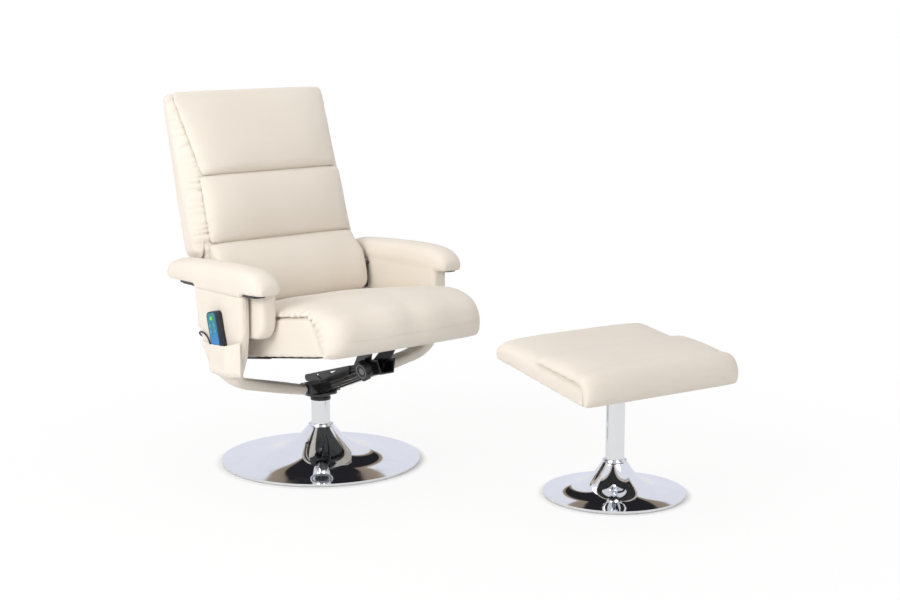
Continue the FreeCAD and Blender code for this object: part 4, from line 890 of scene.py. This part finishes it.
# Ribs of the front arm: three rolled beads that stiffen each side of the pressed steel channel.
# One bead is modelled and copied to the six places.
rib_start = Vector((0, -0.075, 0.2367))
rib_end = Vector((0, -0.205, 0.2893))
rib_gap = 0.0105
rib_half = 0.0021
beam_half = 0.021
rib_run = rib_end - rib_start
rib_across = Vector((0, rib_run.z, -rib_run.y)).normalized()
clear_selection()
bpy.ops.mesh.primitive_cylinder_add(vertices=20, radius=rib_half, depth=rib_run.length)
rib_model = bpy.context.object
bpy.ops.object.mode_set(mode="EDIT")
bpy.ops.mesh.select_all(action="SELECT")
bpy.ops.mesh.bevel(offset=0.0018, segments=4, affect="EDGES")
bpy.ops.object.mode_set(mode="OBJECT")
rib_model.rotation_euler = rib_run.to_track_quat("Z", "Y").to_euler()
bpy.ops.object.transform_apply(rotation=True)
bpy.ops.object.shade_smooth()
rib_model.data.materials.append(black_coat)
for side, word in ((1, "left"), (-1, "right")):
    for number in (-1, 0, 1):
        rib = rib_model.copy()
        rib.data = rib_model.data.copy()
        rib.name = "arm_rib_" + word + "_" + str(number + 2)
        bpy.context.scene.collection.objects.link(rib)
        pick(rib)
        beside = Vector((side * beam_half, 0, 0))
        rib.location = (rib_start + rib_end) / 2 + rib_across * (rib_gap * number) + beside
        bpy.ops.object.transform_apply(location=True)
        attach(rib, "swivel_frame")
bpy.data.objects.remove(rib_model)


# Clamp knob: a lobed black hand wheel on the arm's slot, with a raised grey ring and a low boss on its
# face. The wheel keeps its own shape, and the ring turns with it.
knob_out = Vector((-0.9703, -0.0370, -0.2391))
knob_face = Vector((-0.027, -0.2520, 0.3072)) + knob_out * 0.0268
ring_grey = marked_material(
    "knob_ring_grey", (0.20, 0.20, 0.21), (0.30, 0.30, 0.31),
    metallic=0.0, mark_size=220.0, clean=0.30, marked=0.45, worn_share=0.6,
)
ring_profile = [
    (0.0195, 0.0),
    (0.0195, 0.0012),
    (0.0188, 0.0019),
    (0.0172, 0.0019),
    (0.0165, 0.0012),
    (0.0165, -0.0013),
    (0.0110, -0.0013),
    (0.0104, -0.0004),
    (0.0088, 0.0002),
    (0.0040, 0.0004),
    (0.0012, 0.0004),
]
knob_ring = turned("knob_ring", (0, 0), ring_profile, 64)
pick(knob_ring)
knob_ring.rotation_euler = knob_out.to_track_quat("Z", "Y").to_euler()
knob_ring.location = knob_face
bpy.ops.object.transform_apply(location=True, rotation=True)
knob_ring.data.materials.append(ring_grey)
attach(knob_ring, "knob")


# Back: a padded shell on a bent tube, covered in leatherette with gathered sides, and on its face
# a wedge-shaped head cushion, a middle cushion and a deep lumbar cushion.
back_voxel = 0.006
pillow_voxel = 0.005
pillow_press = 0.003
lumbar_fill = 0.010
lumbar_sink = 0.012
pillow_limit = 0.2590
lumbar_widen = 0.0135
shoulder_drop = 0.026
shoulder_side = 0.245
shoulder_side_blend = 0.008
shoulder_top = 0.33
shoulder_blend = 0.09
shell_hold = 0.24
shell_seam_spots = (
    (0.236, 0.19, 0.074),
    (0.236, 0.345, 0.075),
    (0.230, 0.400, 0.075),
    (0.243, 0.540, 0.049),
    (0.254, 0.630, 0.032),
)
top_seam_spots = ((0.270, 0.613, 0.000), (0.270, 0.613, 0.022), (0.258, 0.618, 0.034))
pillow_front = 0.088
pillow_front_blend = 0.02
pillow_end = 0.17
pillow_end_blend = 0.07
sink_blend = 0.04
end_seam_side = 0.232
end_seam_depth = 0.085
back_turn = math.radians(14.6)
back_climb = Vector((0, math.sin(back_turn), math.cos(back_turn)))
back_depth = Vector((0, -math.cos(back_turn), math.sin(back_turn)))
back_foot = Vector((0, 0.196, 0.3846))


def back_place(x, climb, depth):
    """A place in the leaning back: across, up along it and forward from its rear face."""
    return back_foot + Vector((x, 0, 0)) + back_climb * climb + back_depth * depth


def shell_is_held(co, n):
    """Where the shell's cover stays flat: under the cushions and down at the waist."""
    return n.dot(back_depth) > 0.9 or (co - back_foot).dot(back_climb) < shell_hold


shell = cover_copy("back_cover", back_voxel, 5, "back_shell")
swell(shell, 3.0, 0.008, shell_is_held)
for vertex in shell.data.vertices:
    climb = (vertex.co - back_foot).dot(back_climb)
    outer = smooth_share((abs(vertex.co.x) - shoulder_side) / shoulder_side_blend)
    vertex.co -= back_climb * (shoulder_drop * outer * smooth_share((shoulder_top - climb) / shoulder_blend))
shell.data.update()
relax(shell, 6)
for side in (1, -1):
    shell_seam = [back_place(side * x, climb, depth) for x, climb, depth in shell_seam_spots]
    top_seam = [back_place(side * x, climb, depth) for x, climb, depth in top_seam_spots]
    press_seam(shell, top_seam, width=0.012, depth=0.0035)
    gather(shell, shell_seam[:3], reach=0.055, length=0.021, depth=0.0120, seed=1.3 + side)
    gather(shell, shell_seam[2:], reach=0.036, length=0.024, depth=0.0060, seed=6.3 + side)
finish_cover(shell, cream_cover, "back", 0.6, "back_shell")
for name, node, low_climb, high_climb, cap, widen in (
    ("head_pillow", "head_cushion", 0.400, 0.642, 0.005, 0.0),
    ("middle_pillow", "middle_cushion", 0.212, 0.398, 0.005, 0.0),
    ("lumbar_pillow", "lumbar_cushion", 0.044, 0.210, 0.007, lumbar_widen),
):
    pillow = cover_copy(name, pillow_voxel, 4, node)
    swell(pillow, 4.0, cap, lambda co, n: n.dot(back_depth) < -0.6)
    middle_climb = (low_climb + high_climb) / 2
    for vertex in pillow.data.vertices:
        local = vertex.co - back_foot
        climb = local.dot(back_climb)
        vertex.co += back_climb * ((climb - middle_climb) * 2 * pillow_press / (high_climb - low_climb))
        front = smooth_share((local.dot(back_depth) - pillow_front) / pillow_front_blend)
        below = smooth_share((high_climb - climb) / pillow_end_blend)
        reach = smooth_share((abs(vertex.co.x) - pillow_end) / pillow_end_blend) * front * below
        vertex.co.x += math.copysign(widen * reach, vertex.co.x)
        if widen:
            vertex.co += back_depth * (lumbar_fill * reach)
            sink = smooth_share((low_climb + sink_blend - climb) / sink_blend)
            vertex.co -= back_climb * (lumbar_sink * sink)
        vertex.co.x = max(-pillow_limit, min(pillow_limit, vertex.co.x))
    pillow.data.update()
    for side in (1, -1):
        end_seam = [
            back_place(side * end_seam_side, low_climb + 0.01, end_seam_depth),
            back_place(side * end_seam_side, low_climb + 0.09, end_seam_depth),
        ]
        gather(pillow, end_seam, reach=0.030, length=0.017, depth=0.0024, seed=side + low_climb * 9)
    finish_cover(pillow, cream_cover, "back", 0.85, node)


# Pocket, handset and cord: a leatherette pouch sewn on the right hoop holds the massage handset,
# whose thin black cord goes over the hoop's rear edge to a control box inside it.
cord_diameter = 0.0044
pouch_voxel = 0.0014
pouch = cover_copy("handset_pouch", pouch_voxel, 14, "handset_pocket")
pick(pouch)
bpy.ops.object.shade_smooth()
pouch.data.materials.append(cream_cover)
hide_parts("handset_pocket")
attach(pouch, "swivel_frame")
box_low, box_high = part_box("control_box")
case_trim = Vector((0, 0.034, 0))
clear_selection()
bpy.ops.mesh.primitive_cube_add(size=1)
case = bpy.context.object
case.name = "control_case"
case.scale = box_high - box_low - case_trim
case.location = (box_low + box_high + case_trim) / 2
bpy.ops.object.transform_apply(location=True, scale=True)
bpy.ops.object.mode_set(mode="EDIT")
bpy.ops.mesh.select_all(action="SELECT")
bpy.ops.mesh.bevel(offset=0.003, segments=3, affect="EDGES")
bpy.ops.mesh.select_all(action="SELECT")
bpy.ops.mesh.bisect(plane_co=(box_low + box_high) / 2, plane_no=(1, 0, 0))
bpy.ops.mesh.bevel(offset=0.0007, segments=1, affect="EDGES")
bpy.ops.transform.shrink_fatten(value=-0.0006)
bpy.ops.object.mode_set(mode="OBJECT")
bpy.ops.object.shade_smooth_by_angle(angle=math.radians(35))
case.data.materials.append(black_moulding)
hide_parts("control_box")
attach(case, "swivel_frame")
handset_black = marked_material(
    "handset_black", (0.01, 0.011, 0.013), (0.03, 0.03, 0.034),
    metallic=0.0, mark_size=40.0, clean=0.22, marked=0.36, worn_share=0.5,
)
handset_blue = marked_material(
    "handset_blue", (0.012, 0.02, 0.045), (0.02, 0.03, 0.07),
    metallic=0.0, mark_size=40.0, clean=0.18, marked=0.3, worn_share=0.5,
)
handset_teal = marked_material(
    "handset_teal", (0.022, 0.19, 0.22), (0.03, 0.25, 0.27),
    metallic=0.0, mark_size=40.0, clean=0.16, marked=0.26, worn_share=0.7,
)
key_green = marked_material(
    "key_green", (0.16, 0.62, 0.10), (0.22, 0.70, 0.16),
    metallic=0.0, mark_size=200.0, clean=0.25, marked=0.35, worn_share=0.5,
)
key_pale = marked_material(
    "key_pale", (0.05, 0.30, 0.42), (0.08, 0.36, 0.48),
    metallic=0.0, mark_size=200.0, clean=0.28, marked=0.4, worn_share=0.5,
)
dress(handset_black, "handset_back", "handset_board")
dress(handset_blue, "handset_front")
nodes = handset_teal.node_tree.nodes
links = handset_teal.node_tree.links
place = nodes.new("ShaderNodeTexCoord")
height = nodes.new("ShaderNodeSeparateXYZ")
links.new(place.outputs["Object"], height.inputs[0])
dip = nodes.new("ShaderNodeMapRange")
dip.interpolation_type = "SMOOTHSTEP"
dip.inputs["From Min"].default_value = 0.375
dip.inputs["From Max"].default_value = 0.450
links.new(height.outputs["Z"], dip.inputs["Value"])
print_tone = nodes.new("ShaderNodeMix")
print_tone.data_type = "RGBA"
print_tone.inputs["A"].default_value = (0.018, 0.20, 0.52, 1)
links.new(dip.outputs["Result"], print_tone.inputs["Factor"])
links.new(nodes["Mix"].outputs["Result"], print_tone.inputs["B"])
links.new(print_tone.outputs["Result"], nodes["Principled BSDF"].inputs["Base Color"])
dress(handset_teal, "handset_face")
dress(key_green, "power_button")
dress(key_pale, "mode_button", "speed_button", "heat_button", "timer_button")
dress(black_rubber, "cord_gland")
dress(black_moulding, "lock_knob", "seat_motors", "back_motors", "heat_pad")

hoop_outer = 0.345
hub_height = 0.2086
handset_up = Vector((0, math.sin(math.radians(15)), math.cos(math.radians(15))))
cord_start = Vector((-0.35745, -0.05691, 0.34017))
cord_end = Vector((-0.3017, 0.030, 0.3464))
cord_lead = 0.011
cord_route = (
    (-13.0, -56.0, 108.4),
    (-12.2, -44.0, 101.0),
    (-11.2, -29.0, 102.8),
    (-10.2, -17.5, 113.4),
    (-9.2, -10.0, 129.4),
    (-8.6, -4.5, 147.4),
    (-8.6, 1.5, 165.4),
    (-9.0, 10.5, 181.4),
    (-9.4, 25.0, 191.9),
    (-8.6, 43.0, 194.4),
    (-4.6, 60.0, 189.9),
    (5.0, 72.6, 181.4),
    (19.0, 77.6, 171.0),
    (32.4, 73.0, 159.8),
    (41.0, 61.0, 149.0),
)
cord_points = [cord_start, cord_start - handset_up * cord_lead]
cord_points += [Vector((-hoop_outer + x / 1000, y / 1000, hub_height + z / 1000)) for x, y, z in cord_route]
cord_points += [cord_end + Vector((0, cord_lead, 0)), cord_end]
line = bpy.data.curves.new("handset_lead", "CURVE")
line.dimensions = "3D"
run = line.splines.new("NURBS")
run.points.add(len(cord_points) - 1)
for spot, point in zip(run.points, cord_points):
    spot.co = (*point, 1)
run.order_u = 3
run.use_endpoint_u = True
run.resolution_u = 8
line.bevel_depth = cord_diameter / 2
line.bevel_resolution = 6
line.use_fill_caps = True
lead = bpy.data.objects.new("handset_lead", line)
bpy.context.scene.collection.objects.link(lead)
lead.data.materials.append(black_rubber)
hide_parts("handset_cord")
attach(lead, "swivel_frame")


# Footstool: a board backed with black felt on the tilted column, a foam pad, and over its front a
# second pad whose cover rolls down to the board.
stool_voxel = 0.005
stool_fine_voxel = 0.004
black_backing = marked_material(
    "black_backing", (0.014, 0.014, 0.016), (0.03, 0.03, 0.032),
    metallic=0.0, mark_size=30.0, clean=0.7, marked=0.9, worn_share=0.7,
)
fine_bump(black_backing, scale=1900, depth=0.0002, strength=0.8)
dress(black_backing, "stool_board")
stool_pad = cover_copy("stool_pad_cover", stool_voxel, 10, "stool_pad")
swell(stool_pad, 3.0, 0.005, lambda co, n: n.z < -0.6, taut_rounds)
finish_cover(stool_pad, cream_cover, "footstool", 0.9, "stool_pad")
stool_top = cover_copy("stool_top_pad", stool_fine_voxel, 26, "stool_overlay")
swell(stool_top, 3.0, 0.006, lambda co, n: n.z < -0.3, taut_rounds)
finish_cover(stool_top, cream_cover, "footstool", 0.9, "stool_overlay")
